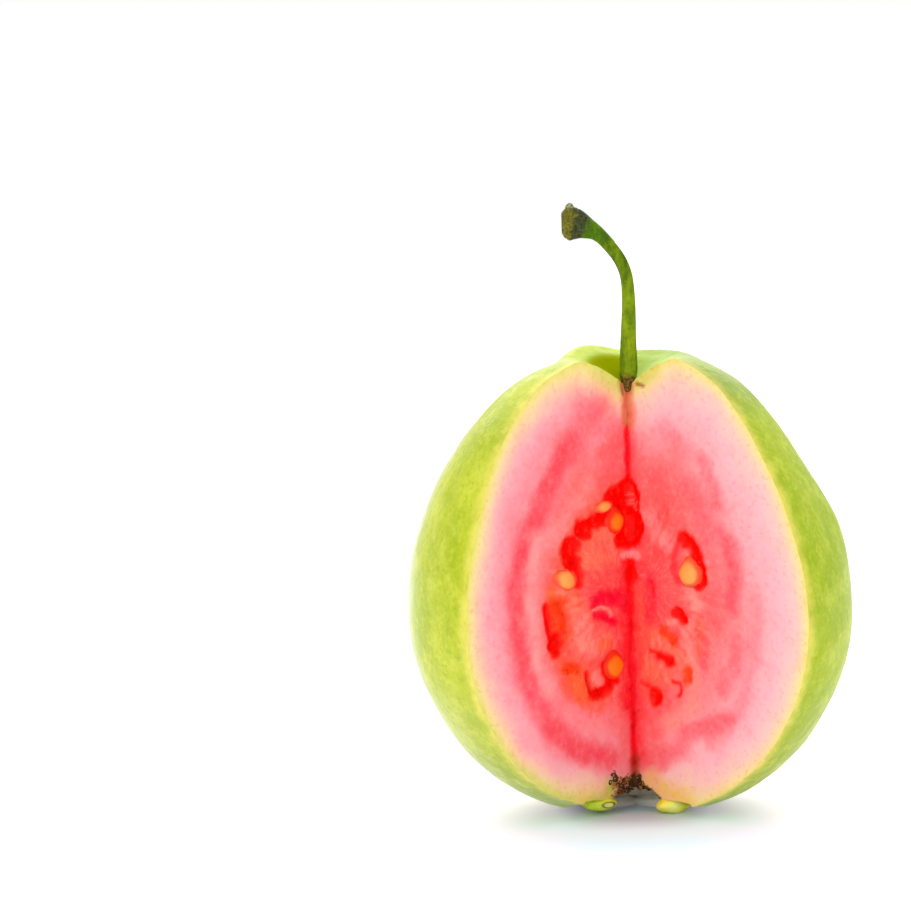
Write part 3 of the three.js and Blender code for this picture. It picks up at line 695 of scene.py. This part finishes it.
def mark_skin(body):
    """Keeps where the skin is dry, hollow or thinly sliced, and where a painted highlight runs down its left
    flank; behind the axis the dry parts take a grey that is painted shade.
    """
    points = vertices(body)
    x, y, z = points.T
    across = np.hypot(x, y)
    # The dry calyx cup, and the underside behind the axis, which the skin material colours partly as painted
    # shade.
    cup = smoothstep(5.2 - across, 0, 1) * smoothstep(9 - z, 0, 1)
    underside = smoothstep(10.4 - across, 0, 1) * smoothstep(3 - z, 0, 0.5) * (y > 0)
    attribute(body, "dry", np.maximum(cup, underside))
    attribute(body, "dimple", smoothstep(11.5 - across, 0, 8) * smoothstep(z, 66, 69))
    past_cut = np.arctan2(np.abs(x), -y) - HALF_WEDGE
    attribute(body, "sliced", smoothstep(across * np.sin(np.clip(past_cut, 0, 1.5)), 2.6, 0.2))
    # A band down the left flank, seen edge on from the front, where a painted highlight goes.
    flank = np.degrees(np.arctan2(-x, -y))
    left = smoothstep(flank, 72, 83) * (1 - smoothstep(flank, 86, 97))
    attribute(body, "painted_rim_highlight", left * smoothstep(z, 12, 30) * (1 - smoothstep(z, 58, 66)))


def share_out(body):
    """Gives the faces of the cut the second material, the pulp's, and leaves the skin's to the rest."""
    centre = round_axis(triples(body.data.polygons, "center"))
    normal = triples(body.data.polygons, "normal")
    side, r, depth = along_face(centre)
    z = centre[:, 2]
    facing = -(side * normal[:, 0] * math.cos(HALF_WEDGE) + normal[:, 1] * math.sin(HALF_WEDGE))
    inner = ((r < 22) & (z > 9) & (z < 66)) | ((r < 1.6) & (z > 4.6) & (z < 69.2))
    skinny = (z > 68.5) | ((z < 6) & (r < 6.5))
    pulp = (depth < np.where(skinny, 0.5, 3.2)) & ((facing > 0.6) | inner)
    body.data.polygons.foreach_set("material_index", pulp.astype(np.int32))


# ---- Materials ----

class Recipe:
    """A material that is built up node by node."""

    def __init__(self, name):
        self.material = bpy.data.materials.new(name)
        self.material.use_nodes = True
        self.tree = self.material.node_tree
        self.shader = self.tree.nodes["Principled BSDF"]

    def node(self, kind, inputs=(), **settings):
        made = self.tree.nodes.new("ShaderNode" + kind)
        for key, value in settings.items():
            setattr(made, key, value)
        for key, value in dict(inputs).items():
            self.feed(made.inputs[key], value)
        return made

    def feed(self, socket, value):
        if isinstance(value, bpy.types.NodeSocket):
            self.tree.links.new(value, socket)
        else:
            socket.default_value = value

    def math(self, operation, a, b=0.0):
        return self.node("Math", {0: a, 1: b}, operation=operation).outputs[0]

    def times(self, a, b):
        return self.math("MULTIPLY", a, b)

    def around(self, value, middle, gain):
        """How far a value is from its middle, made larger or smaller."""
        return self.times(self.math("SUBTRACT", value, middle), gain)

    def attribute(self, name):
        return self.node("Attribute", attribute_name=name).outputs["Fac"]

    def spot(self):
        return self.node("TexCoord").outputs["Object"]

    def place(self):
        """The x, y and z of the spot, each on its own."""
        return self.node("SeparateXYZ", {0: self.spot()}).outputs

    def stretched(self, scale):
        return self.node("Mapping", {"Vector": self.spot(), "Scale": scale}).outputs[0]

    def noise(self, size, detail=3.0, roughness=0.55, vector=None, seed=0.0):
        """Noise from 0 to 1 whose waves are about size millimetres long."""
        made = self.node("TexNoise", {
            "Scale": 1 / (size * MM), "Detail": detail, "Roughness": roughness, "W": seed,
            "Vector": vector or self.spot(),
        }, noise_dimensions="4D")
        return made.outputs["Fac"]

    def band(self, value, low, high, to_low=0.0, to_high=1.0):
        """From to_low to to_high as a value goes from low to high, eased at both ends."""
        made = self.node("MapRange", {0: value, 1: low, 2: high, 3: to_low, 4: to_high},
                         interpolation_type="SMOOTHSTEP")
        return made.outputs[0]

    def reach(self, place, start, end, most=1.0):
        """From 0 to most as a place goes from start to end, in millimetres."""
        return self.band(place, start * MM, end * MM, 0.0, most)

    def mix(self, share, a, b, blend="MIX"):
        """Colour a taken over by colour b; three numbers stand for a colour written 0 to 255."""
        made = self.node("Mix", data_type="RGBA", blend_type=blend)
        for index, value in ((0, share), (6, a), (7, b)):
            levels = isinstance(value, tuple) and len(value) == 3
            self.feed(made.inputs[index], linear(*value) if levels else value)
        return made.outputs[2]

    def tinge(self, colour, value, low, high, levels, share=1.0):
        """The colour, taken over by another one as a value goes from low to high."""
        return self.mix(self.band(value, low, high, 0.0, share), colour, levels)

    def two_tone(self, value, low, high, first, second):
        return self.mix(self.band(value, low, high), first, second)

    def bump(self, height, distance_mm, strength=1.0, under=None):
        inputs = {"Height": height, "Distance": distance_mm * MM, "Strength": strength}
        if under is not None:
            inputs["Normal"] = under
        return self.node("Bump", inputs).outputs[0]

    def finish(self, **sockets):
        for name, value in sockets.items():
            self.feed(self.shader.inputs[name.replace("_", " ")], value)
        return self.material


def skin_material():
    m = Recipe("guava_skin")
    broad = m.noise(13, 3.0, 0.55, seed=1.0)
    mottle = m.noise(3.0, 4.0, 0.6, seed=2.0)
    freckle = m.noise(0.75, 2.0, 0.5, seed=3.0)
    base = m.two_tone(broad, 0.34, 0.66, (164, 180, 8), (190, 198, 34))
    place = m.place()
    # Painted shade: the skin on the right, away from the light, is mixed to a darker green.
    right = m.reach(place[0], -8, 30)
    base = m.mix(m.times(right, 0.55), base, (140, 172, 12))
    # Painted shade: the skin is darker towards the bottom, where the glowing floor lights it.
    base = m.mix(m.reach(place[2], 30, 6, 0.75), base, (138, 164, 4))
    base = m.tinge(base, mottle, 0.42, 0.72, (208, 214, 78), 0.5)
    base = m.tinge(base, mottle, 0.45, 0.28, (150, 172, 10), 0.5)
    base = m.tinge(base, freckle, 0.52, 0.7, (140, 164, 6), 0.5)
    base = m.tinge(base, freckle, 0.46, 0.3, (214, 220, 84), 0.27)
    sliced = m.times(m.attribute("sliced"), m.band(mottle, 0.3, 0.6, 0.35, 0.9))
    base = m.mix(sliced, base, (222, 210, 92))
    # Painted shade: the skin is duller and greyer towards the back.
    shady = m.two_tone(mottle, 0.36, 0.64, (146, 162, 44), (174, 184, 78))
    base = m.mix(m.reach(place[1], 3, 22, 0.75), base, shady)
    hollow = m.attribute("dimple")
    # Painted shade: the top of the crown right of the stem is toned down.
    painted_crown_shade = m.times(m.reach(place[2], 63, 71), m.reach(place[0], 0, 5))
    base = m.mix(painted_crown_shade, base, (206, 218, 178), "MULTIPLY")
    # The dimple's wall is a greener tone. Left of the stem it is then darkened to olive, which is painted
    # shade.
    wall = m.mix(m.reach(place[0], 0, 3), (190, 212, 68), (164, 192, 52))
    base = m.mix(m.band(hollow, 0.0, 0.5, 0.0, 0.8), base, wall)
    deep = m.times(m.band(hollow, 0.4, 0.9), m.reach(place[0], 2.5, -1))
    base = m.mix(deep, base, (142, 152, 0))
    # Painted highlight: pale streaks down the left flank, where the skin is seen edge on.
    streaks = m.noise(1.1, 3.0, 0.6, vector=m.stretched((1, 1, 0.4)), seed=9.0)
    painted_rim_gleam = m.times(m.attribute("painted_rim_highlight"), m.band(streaks, 0.34, 0.6, 0.15, 0.6))
    base = m.mix(painted_rim_gleam, base, (192, 206, 140))
    # The dry calyx cup is bark in front of the axis; behind it, and under the back, it is a pale grey that is
    # painted shade for the inside of the calyx arch.
    cup = m.mix(m.reach(place[1], AXIS[1] - 1, AXIS[1] + 1), TISSUES["bark"], (206, 196, 178))
    base = m.mix(m.attribute("dry"), base, cup)
    pores = m.bump(m.noise(0.8, 3.0, 0.55, seed=5.0), 0.1, 0.7)
    wrinkles = m.bump(m.noise(2.4, 4.0, 0.6, seed=6.0), 0.5, 0.7, under=pores)
    matt = m.math("MAXIMUM", right, m.reach(place[2], 60, 70))
    coat = m.times(m.band(matt, 0.0, 1.0, 0.2, 0.04), m.band(deep, 0.0, 0.8, 1.0, 0.0))
    return m.finish(
        Base_Color=base, Roughness=0.4, Specular_IOR_Level=m.band(deep, 0.0, 0.8, 0.1, 0.0), Normal=wrinkles,
        Subsurface_Weight=0.15, Subsurface_Radius=(1.0, 0.8, 0.3), Subsurface_Scale=2.0 * MM,
        Coat_Weight=coat, Coat_Roughness=0.18,
        Sheen_Weight=m.band(matt, 0.0, 0.8, 0.3, 0.02), Sheen_Roughness=0.25,
    )


def pulp_material():
    m = Recipe("guava_pulp")
    tint = m.node("Attribute", attribute_name="tint").outputs["Color"]
    wet = m.attribute("wet")
    cloud = m.noise(2.6, 4.0, 0.6, seed=4.0)
    fleck = m.noise(0.8, 3.0, 0.6, seed=6.0)
    colour = m.mix(m.band(cloud, 0.46, 0.75, 0.0, 0.3), tint, (253, 210, 204), "MULTIPLY")
    colour = m.mix(m.band(fleck, 0.52, 0.7, 0.0, 0.4), colour, (250, 196, 190), "MULTIPLY")
    dry = m.math("SUBTRACT", 1.0, wet)
    colour = m.mix(m.times(m.band(fleck, 0.48, 0.34, 0.0, 0.08), dry), colour, (255, 214, 206))
    gel = m.noise(1.2, 3.0, 0.6, seed=12.0)
    colour = m.mix(m.times(wet, m.band(gel, 0.5, 0.72, 0.0, 0.65)), colour, (190, 10, 6))
    # Lighter orange-red patches in the wet gel: partly the gel's own tone, partly painted highlights.
    colour = m.mix(m.times(wet, m.band(gel, 0.46, 0.3, 0.0, 0.45)), colour, (255, 64, 40))
    grain = m.bump(m.noise(0.45, 3.0, 0.6, seed=8.0), 0.09, 0.6)
    lumps = m.bump(m.noise(1.6, 3.0, 0.5, seed=9.0), 0.25, 0.35, under=grain)
    return m.finish(
        Base_Color=colour, Roughness=m.math("SUBTRACT", 0.5, m.times(wet, 0.24)),
        Specular_IOR_Level=0.07, Normal=lumps,
        Subsurface_Weight=0.25, Subsurface_Radius=(1.0, 0.35, 0.3), Subsurface_Scale=1.2 * MM,
    )


def seed_material(tone):
    """A seed under thin gel: one colour where it stands bare, another where it sinks in."""
    m = Recipe("seed_in_gel_" + tone)
    top, rim = SEED_TONES[tone]
    bare = m.attribute("bare")
    patch = m.noise(1.4, 3.0, 0.6, seed=1.0)
    edge = m.math("ADD", bare, m.around(patch, 0.5, 0.7))
    colour = m.mix(m.band(edge, 0.1, 1.0), rim, top)
    return m.finish(
        Base_Color=colour, Roughness=0.4, Specular_IOR_Level=0.15,
        Subsurface_Weight=0.5, Subsurface_Radius=(1.0, 0.45, 0.2), Subsurface_Scale=1.5 * MM,
        Normal=m.bump(patch, 0.12, 0.4),
    )


def stem_material():
    m = Recipe("guava_stem")
    along = m.attribute("along")
    fibre = m.noise(1.3, 3.0, 0.6, vector=m.stretched((1, 1, 0.35)), seed=2.0)
    grit = m.noise(0.35, 2.0, 0.5, seed=3.0)
    colour = m.two_tone(fibre, 0.3, 0.72, (84, 112, 2), (136, 156, 6))
    upper = m.two_tone(fibre, 0.35, 0.65, (64, 92, 0), (112, 136, 2))
    colour = m.mix(m.band(along, 15.0, 22.0), colour, upper)
    colour = m.tinge(colour, along, 24.0, 27.5, (58, 118, 6), 0.4)
    mottle = m.noise(0.7, 3.0, 0.6, seed=7.0)
    colour = m.tinge(colour, mottle, 0.52, 0.68, (76, 86, 4), 0.5)
    colour = m.tinge(colour, grit, 0.6, 0.75, (166, 178, 50), 0.3)
    place = m.math("ADD", along, m.around(m.noise(1.2, seed=4.0), 0.5, 3.0))
    cork = m.two_tone(grit, 0.35, 0.65, (42, 46, 26), (74, 78, 44))
    colour = m.mix(m.band(place, 28.4, 29.8), colour, cork)
    olive = m.two_tone(grit, 0.35, 0.65, (86, 82, 16), (122, 116, 36))
    colour = m.mix(m.band(place, 31.0, 31.6, 0.0, 0.9), colour, olive)
    ring = m.two_tone(grit, 0.35, 0.65, (54, 40, 10), (122, 92, 36))
    colour = m.mix(m.band(place, 3.3, 1.9), colour, ring)
    bark = m.bump(grit, 0.12, 0.6)
    return m.finish(Base_Color=colour, Roughness=0.6, Specular_IOR_Level=0.1,
                    Normal=m.bump(fibre, 0.3, 0.6, under=bark))


def scar_material():
    m = Recipe("stem_scar")
    patch = m.noise(0.5, 3.0, 0.6, seed=5.0)
    colour = m.two_tone(patch, 0.4, 0.62, (66, 62, 34), (158, 164, 108))
    return m.finish(Base_Color=colour, Roughness=0.7, Specular_IOR_Level=0.2, Normal=m.bump(patch, 0.2, 0.8))


def lobe_material():
    m = Recipe("calyx_lobe")
    patch = m.noise(1.9, 3.0, 0.6, seed=3.0)
    speck = m.noise(0.5, 3.0, 0.6, seed=4.0)
    across = m.place()[0]
    right = m.reach(across, -3, 4)
    green = m.two_tone(patch, 0.35, 0.65, (186, 212, 0), (222, 232, 70))
    straw = m.two_tone(patch, 0.35, 0.65, (255, 238, 56), (255, 250, 140))
    straw = m.mix(m.reach(across, 7.0, 8.4), straw, (214, 214, 34))
    colour = m.mix(right, green, straw)
    colour = m.mix(m.attribute("pale"), colour, (216, 220, 120))
    colour = m.tinge(colour, speck, 0.62, 0.74, (150, 104, 30), 0.6)
    colour = m.mix(m.attribute("ring"), colour, (96, 92, 16))
    # Painted shade: where marked dry, the lobe turns a pale grey that reads as shadow inside the calyx arch.
    colour = m.mix(m.attribute("dry"), colour, (220, 214, 202))
    return m.finish(Base_Color=colour, Roughness=0.5, Specular_IOR_Level=0.12,
                    Normal=m.bump(speck, 0.12, 0.6, under=m.bump(patch, 0.3, 0.5)),
                    Subsurface_Weight=0.2, Subsurface_Radius=(1.0, 0.8, 0.3), Subsurface_Scale=1.0 * MM)


def stamen_material():
    m = Recipe("dried_stamen")
    age = m.math("ADD", m.attribute("age"), m.around(m.noise(0.7, seed=1.0), 0.5, 0.5))
    colour = m.two_tone(age, 0.25, 0.8, (72, 38, 8), (176, 120, 60))
    return m.finish(Base_Color=colour, Roughness=0.7, Specular_IOR_Level=0.2)


# ---- Pieces ----

def dress(piece, slot, *nodes):
    """Makes a piece part of the object."""
    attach(piece, "root")
    if nodes:
        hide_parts(*nodes)


def fruit():
    """The cut fruit: skin, rind and flesh in one piece."""
    body = whole_body()
    cut_open(body, knife())
    clean(body, 1e-8)
    body.data.materials.clear()
    body.data.materials.append(skin_material())
    body.data.materials.append(pulp_material())
    mark_flesh(body)
    mark_skin(body)
    share_out(body)
    smooth(body, 50)
    dress(body, "fruit", "fruit")


def seed(name, side, size, materials):
    """An egg with one pointed end, lying in its cut face."""
    at_r, at_z, long, wide, turn, deep, tone = size
    turn = math.radians(turn)
    piece, flat, _ = ball(name, 28, 20)
    narrow = 1 - SEED_TAPER * np.maximum(flat[:, 2], 0)
    dent = 1 + 0.07 * rough(flat + (at_r, at_z, 0), 0.9)
    along = flat[:, 2] * long / 2 * dent
    across = flat[:, 0] * narrow * wide / 2 * dent
    thick = flat[:, 1] * narrow * SEED_THICKNESS / 2 * dent
    r = at_r + across * math.cos(turn) + along * math.sin(turn)
    z = at_z + along * math.cos(turn) - across * math.sin(turn)
    put_vertices(piece, on_face(side, r, z, deep - thick))
    attribute(piece, "bare", smoothstep(thick - deep, -0.1, 0.5))
    clean(piece)
    smooth(piece, 180)
    piece.data.materials.append(materials[tone])
    dress(piece, "seed")


def seeds():
    materials = {tone: seed_material(tone) for tone in SEED_TONES}
    for side, word, sizes in ((-1, "left", LEFT_SEEDS), (1, "right", RIGHT_SEEDS)):
        for index, size in enumerate(sizes, 1):
            seed(f"seed_{word}_{index}", side, size, materials)


def stem():
    """The stem with its knobbly end, and the pale scar in that."""
    line = catmull([row[:3] for row in STEM], 150)
    halves = catmull([row[3:] for row in STEM], 150)

    def ridges(turn, along):
        bark = np.stack((np.cos(turn) * 2, np.sin(turn) * 2, along * 30), axis=-1)
        knob = smoothstep(along, 0.75, 0.9)
        return (0.965 + 0.02 * np.cos(5 * turn + 2 * along) + 0.012 * rough(bark, 1.0)
                + knob * (0.05 * rough(bark * (1, 1, 3), 1.1, 2.0) - 0.03))

    rod = tube("guava_stem", line, halves, 44, ridges)
    run = np.concatenate(([0], np.cumsum(np.linalg.norm(np.diff(line, axis=0), axis=1))))
    nearest = [int(np.argmin(((line - p) ** 2).sum(axis=1))) for p in vertices(rod)]
    attribute(rod, "along", run[nearest])
    smooth(rod, 60)
    rod.data.materials.append(stem_material())
    scar, flat, _ = ball("stem_scar", 28, 20)
    lumps = 1 + 0.14 * rough(flat, 0.45)
    put_vertices(scar, flat * SCAR_HALF * lumps[:, None] * 0.93 + SCAR_AT)
    clean(scar)
    smooth(scar, 60)
    scar.data.materials.append(scar_material())
    dress(rod, "stem", "stem")
    dress(scar, "stem")


def calyx_lobe(index, material):
    """A fleshy flap, folded out flat under the fruit, with a sunken midrib and a wavy edge."""
    turn = 2 * math.pi * index / LOBE_COUNT - math.pi / 2
    width, middle, top = LOBES[index]
    piece, flat, _ = ball(f"calyx_flap_{index}", 96, 60)
    wavy = 1 + 0.07 * rough(flat + (index, 0, 0), 0.55) - 0.03
    rib = 0.13 * np.exp(-((flat[:, 1] / 0.16) ** 2)) * (flat[:, 0] > -0.9)
    r = LOBE_FROM + (LOBE_TO - LOBE_FROM) * (flat[:, 0] * wavy + 1) / 2
    across = flat[:, 1] * wavy * width * (1 - LOBE_TAPER * flat[:, 0]) / 2
    z = middle + (flat[:, 2] * wavy - rib * np.sign(flat[:, 2])) * (top - middle)
    points = settled(np.stack((r * math.cos(turn) - across * math.sin(turn),
                               r * math.sin(turn) + across * math.cos(turn), z), axis=-1))
    put_vertices(piece, points)
    out = np.hypot(points[:, 0], points[:, 1])
    front = points[:, 1] < -1.0
    near = np.hypot((points[:, 0] - RING_AT[0]) / RING_HALF[0], (points[:, 2] - RING_AT[1]) / RING_HALF[1])
    left = front * (points[:, 0] < 0)
    attribute(piece, "ring", left * np.exp(-(((near - 1) / 0.2) ** 2)))
    attribute(piece, "pale", left * (1 - smoothstep(near, 1.0, 1.5)))
    # Painted shade: the inner ends of the back lobes are marked for the pale grey that reads as shadow inside
    # the calyx arch.
    attribute(piece, "dry", smoothstep(6.8 - out, 0, 1) * (points[:, 1] > 0))
    clean(piece)
    smooth(piece, 60)
    piece.data.materials.append(material)
    dress(piece, "calyx", f"calyx_lobe_{index}")


def stamen_pad():
    """The rough pad in the calyx cup that the threads hang from."""
    pad, flat, _ = ball("dried_stamens_tuft", 48, 24)
    lumpy = 1 + 0.12 * rough(flat, 0.35)
    middle = (PAD_HIGH + PAD_LOW) / 2
    points = flat * (PAD_RADIUS, PAD_RADIUS, (PAD_HIGH - PAD_LOW) / 2) * lumpy[:, None] + (0, 0, middle)
    inside = np.arctan2(np.abs(points[:, 0]), -points[:, 1]) > HALF_WEDGE
    points[~inside] *= (0.5, 0.5, 1)
    put_vertices(pad, points)
    attribute(pad, "age", 0.1 + 0.3 * (lumpy - 0.88))
    return pad


def hanging_path(chance, index):
    """The way of one thread that hangs from the cup, or None where the wedge has taken it."""
    turn = index * GOLDEN_TURN
    foot = THREAD_REACH * math.sqrt((index + 0.5) / THREAD_COUNT)
    if math.acos(-math.sin(turn)) < HALF_WEDGE and foot > 1.0:
        return None
    at = np.array((foot * math.cos(turn), foot * math.sin(turn), 4.3 - 0.08 * foot**2))
    path = [at]
    for _ in range(4):
        wander = [chance.uniform(-THREAD_WANDER, THREAD_WANDER) for _ in range(3)]
        at = at + wander + (0.0, 0.0, -THREAD_DROP)
        path.append(at)
    return path


def curl_path(chance, side):
    """The way of one loose curl on a cut face."""
    _, nearest, furthest, low, high = CURLS[side]
    r = chance.uniform(nearest, furthest)
    z = chance.uniform(low, high) - 0.14 * r
    heading = chance.uniform(0, 2 * math.pi)
    curl = chance.choice((-1, 1)) * chance.uniform(0.6, 1.6)
    depth = chance.uniform(-0.3, 0.25)
    path = []
    for _ in range(5):
        path.append(on_face(side, abs(r) + 0.1, max(z, 1.2), depth))
        r += CURL_STEP * math.cos(heading)
        z += CURL_STEP * math.sin(heading)
        heading += curl
        depth += chance.uniform(-0.15, 0.15)
    return path


def thread(index, path, thick, age):
    line = catmull(path, 14)
    halves = np.interp(np.linspace(0, 1, 15), (0, 0.7, 0.86, 1), (1.0, 0.75, 1.5, 0.9)) * thick
    one = tube(f"thread_{index}", line, np.stack((halves, halves), axis=-1), 6)
    attribute(one, "age", np.full(len(one.data.vertices), age))
    return one


def dried_stamens():
    """A dark tuft that fills the calyx cup: a rough pad, threads that hang from it, and loose curls."""
    chance = random.Random(11)
    tuft = [stamen_pad()]
    for index in range(THREAD_COUNT):
        path = hanging_path(chance, index)
        if path is not None:
            tuft.append(thread(len(tuft), path, chance.uniform(0.09, 0.16), 0.5 * chance.random()))
    for side, shape in CURLS.items():
        for _ in range(shape[0]):
            path = curl_path(chance, side)
            tuft.append(thread(len(tuft), path, chance.uniform(0.1, 0.16), chance.random()))
    pick(tuft[0])
    for one in tuft:
        one.select_set(True)
    bpy.ops.object.join()
    smooth(tuft[0], 60)
    tuft[0].data.materials.append(stamen_material())
    dress(tuft[0], "stamens", "dried_stamens")


# ---- Camera, light and floor ----

CAMERA_AT = Vector((-16.212, -515.869, 100.372))
YAW, PITCH, ROLL = math.radians(-1.2901), math.radians(4.6247), math.radians(1.5)
LENS = 126.786
SKY_LIGHT = 0.82


def camera():
    """A long lens in front of the fruit, a little above it and tilted."""
    data = bpy.data.cameras.new("camera")
    data.sensor_width = 36.0
    data.lens = LENS
    data.clip_start, data.clip_end = 0.01, 50.0
    ahead = Vector((math.sin(YAW) * math.cos(PITCH), math.cos(YAW) * math.cos(PITCH), -math.sin(PITCH)))
    level = ahead.cross(Vector((0, 0, 1))).normalized()
    rise = level.cross(ahead)
    right = level * math.cos(ROLL) - rise * math.sin(ROLL)
    up = rise * math.cos(ROLL) + level * math.sin(ROLL)
    holder = bpy.data.objects.new("camera", data)
    turned = Matrix((right, up, -ahead)).transposed().to_4x4()
    holder.matrix_world = Matrix.Translation((CAMERA_AT + Vector((*AXIS, 0))) * MM) @ turned
    bpy.context.collection.objects.link(holder)
    bpy.context.scene.camera = holder


def floor():
    """A white floor with painted light and shade near the fruit, so that the shadow under it comes out grey:
    a glow beside the fruit, a painted shadow in front of the calyx, and a tint against the fruit's coloured
    light.
    """
    deselect()
    bpy.ops.mesh.primitive_plane_add(size=12, location=(0, 0, 0))
    plane = taken("floor")
    m = Recipe("white_floor")
    place = m.place()
    sideways = m.math("ABSOLUTE", place[0])
    front = m.times(m.reach(place[1], -6, -18), m.reach(sideways, 24, 6))
    front = m.times(front, m.reach(place[1], -62, -30))
    under = m.times(m.reach(place[1], -24, -11), m.reach(sideways, 13, 5))
    under = m.times(under, m.reach(place[1], 20, 8))
    far = m.reach(m.node("VectorMath", {0: m.spot()}, operation="LENGTH").outputs["Value"], 34, 80)
    # A tint against the coloured light that the fruit throws on the floor: cyan in front of the cut, lilac
    # elsewhere near it.
    tone = m.mix(front, (1, 0.95, 1, 1), (0.72, 1, 1, 1))
    # Painted shadow: darker and less red right in front of the calyx.
    shade = m.mix(m.reach(place[1], -6, -14), (0.73, 0.87, 0.95, 1), (0.6, 0.86, 0.93, 1))
    tone = m.mix(far, m.mix(under, tone, shade), (1, 1, 1, 1))
    # Painted light: near the fruit the floor glows, which lightens the shadow beside it.
    glow = m.mix(front, (0.23, 0.2, 0.34, 1), (0.16, 0.24, 0.26, 1))
    glow = m.mix(far, m.mix(under, glow, (0, 0, 0, 1)), (0.05, 0.05, 0.05, 1))
    plane.data.materials.append(m.finish(
        Base_Color=tone, Roughness=0.6, Specular_IOR_Level=0.2, Emission_Color=glow, Emission_Strength=1.0))


def sun(name, towards, strength, spread):
    """A soft light from far away, shining from the given direction."""
    data = bpy.data.lights.new(name, "SUN")
    data.energy = strength
    data.angle = math.radians(spread)
    holder = bpy.data.objects.new(name, data)
    holder.rotation_euler = Vector(towards).to_track_quat("Z", "Y").to_euler()
    bpy.context.collection.objects.link(holder)


def world():
    """A white room: pure white to the camera, and a little dimmer as a light."""
    sky = bpy.data.worlds.new("white_room")
    sky.use_nodes = True
    tree = sky.node_tree
    background = tree.nodes["Background"]
    background.inputs["Color"].default_value = (1, 1, 1, 1)
    path = tree.nodes.new("ShaderNodeLightPath")
    level = tree.nodes.new("ShaderNodeMapRange")
    level.inputs["To Min"].default_value = SKY_LIGHT
    level.inputs["To Max"].default_value = 1.0
    tree.links.new(path.outputs["Is Camera Ray"], level.inputs["Value"])
    tree.links.new(level.outputs["Result"], background.inputs["Strength"])
    bpy.context.scene.world = sky
    bpy.context.scene.view_settings.view_transform = "Standard"


camera()
world()
floor()
sun("top", (0.0, 0.8, 1.0), 2.7, 80)
sun("front", (-0.7, -1.0, 0.1), 0.75, 50)
fruit()
seeds()
stem()
lobe = lobe_material()
for number in range(1, LOBE_COUNT):
    calyx_lobe(number, lobe)
dried_stamens()
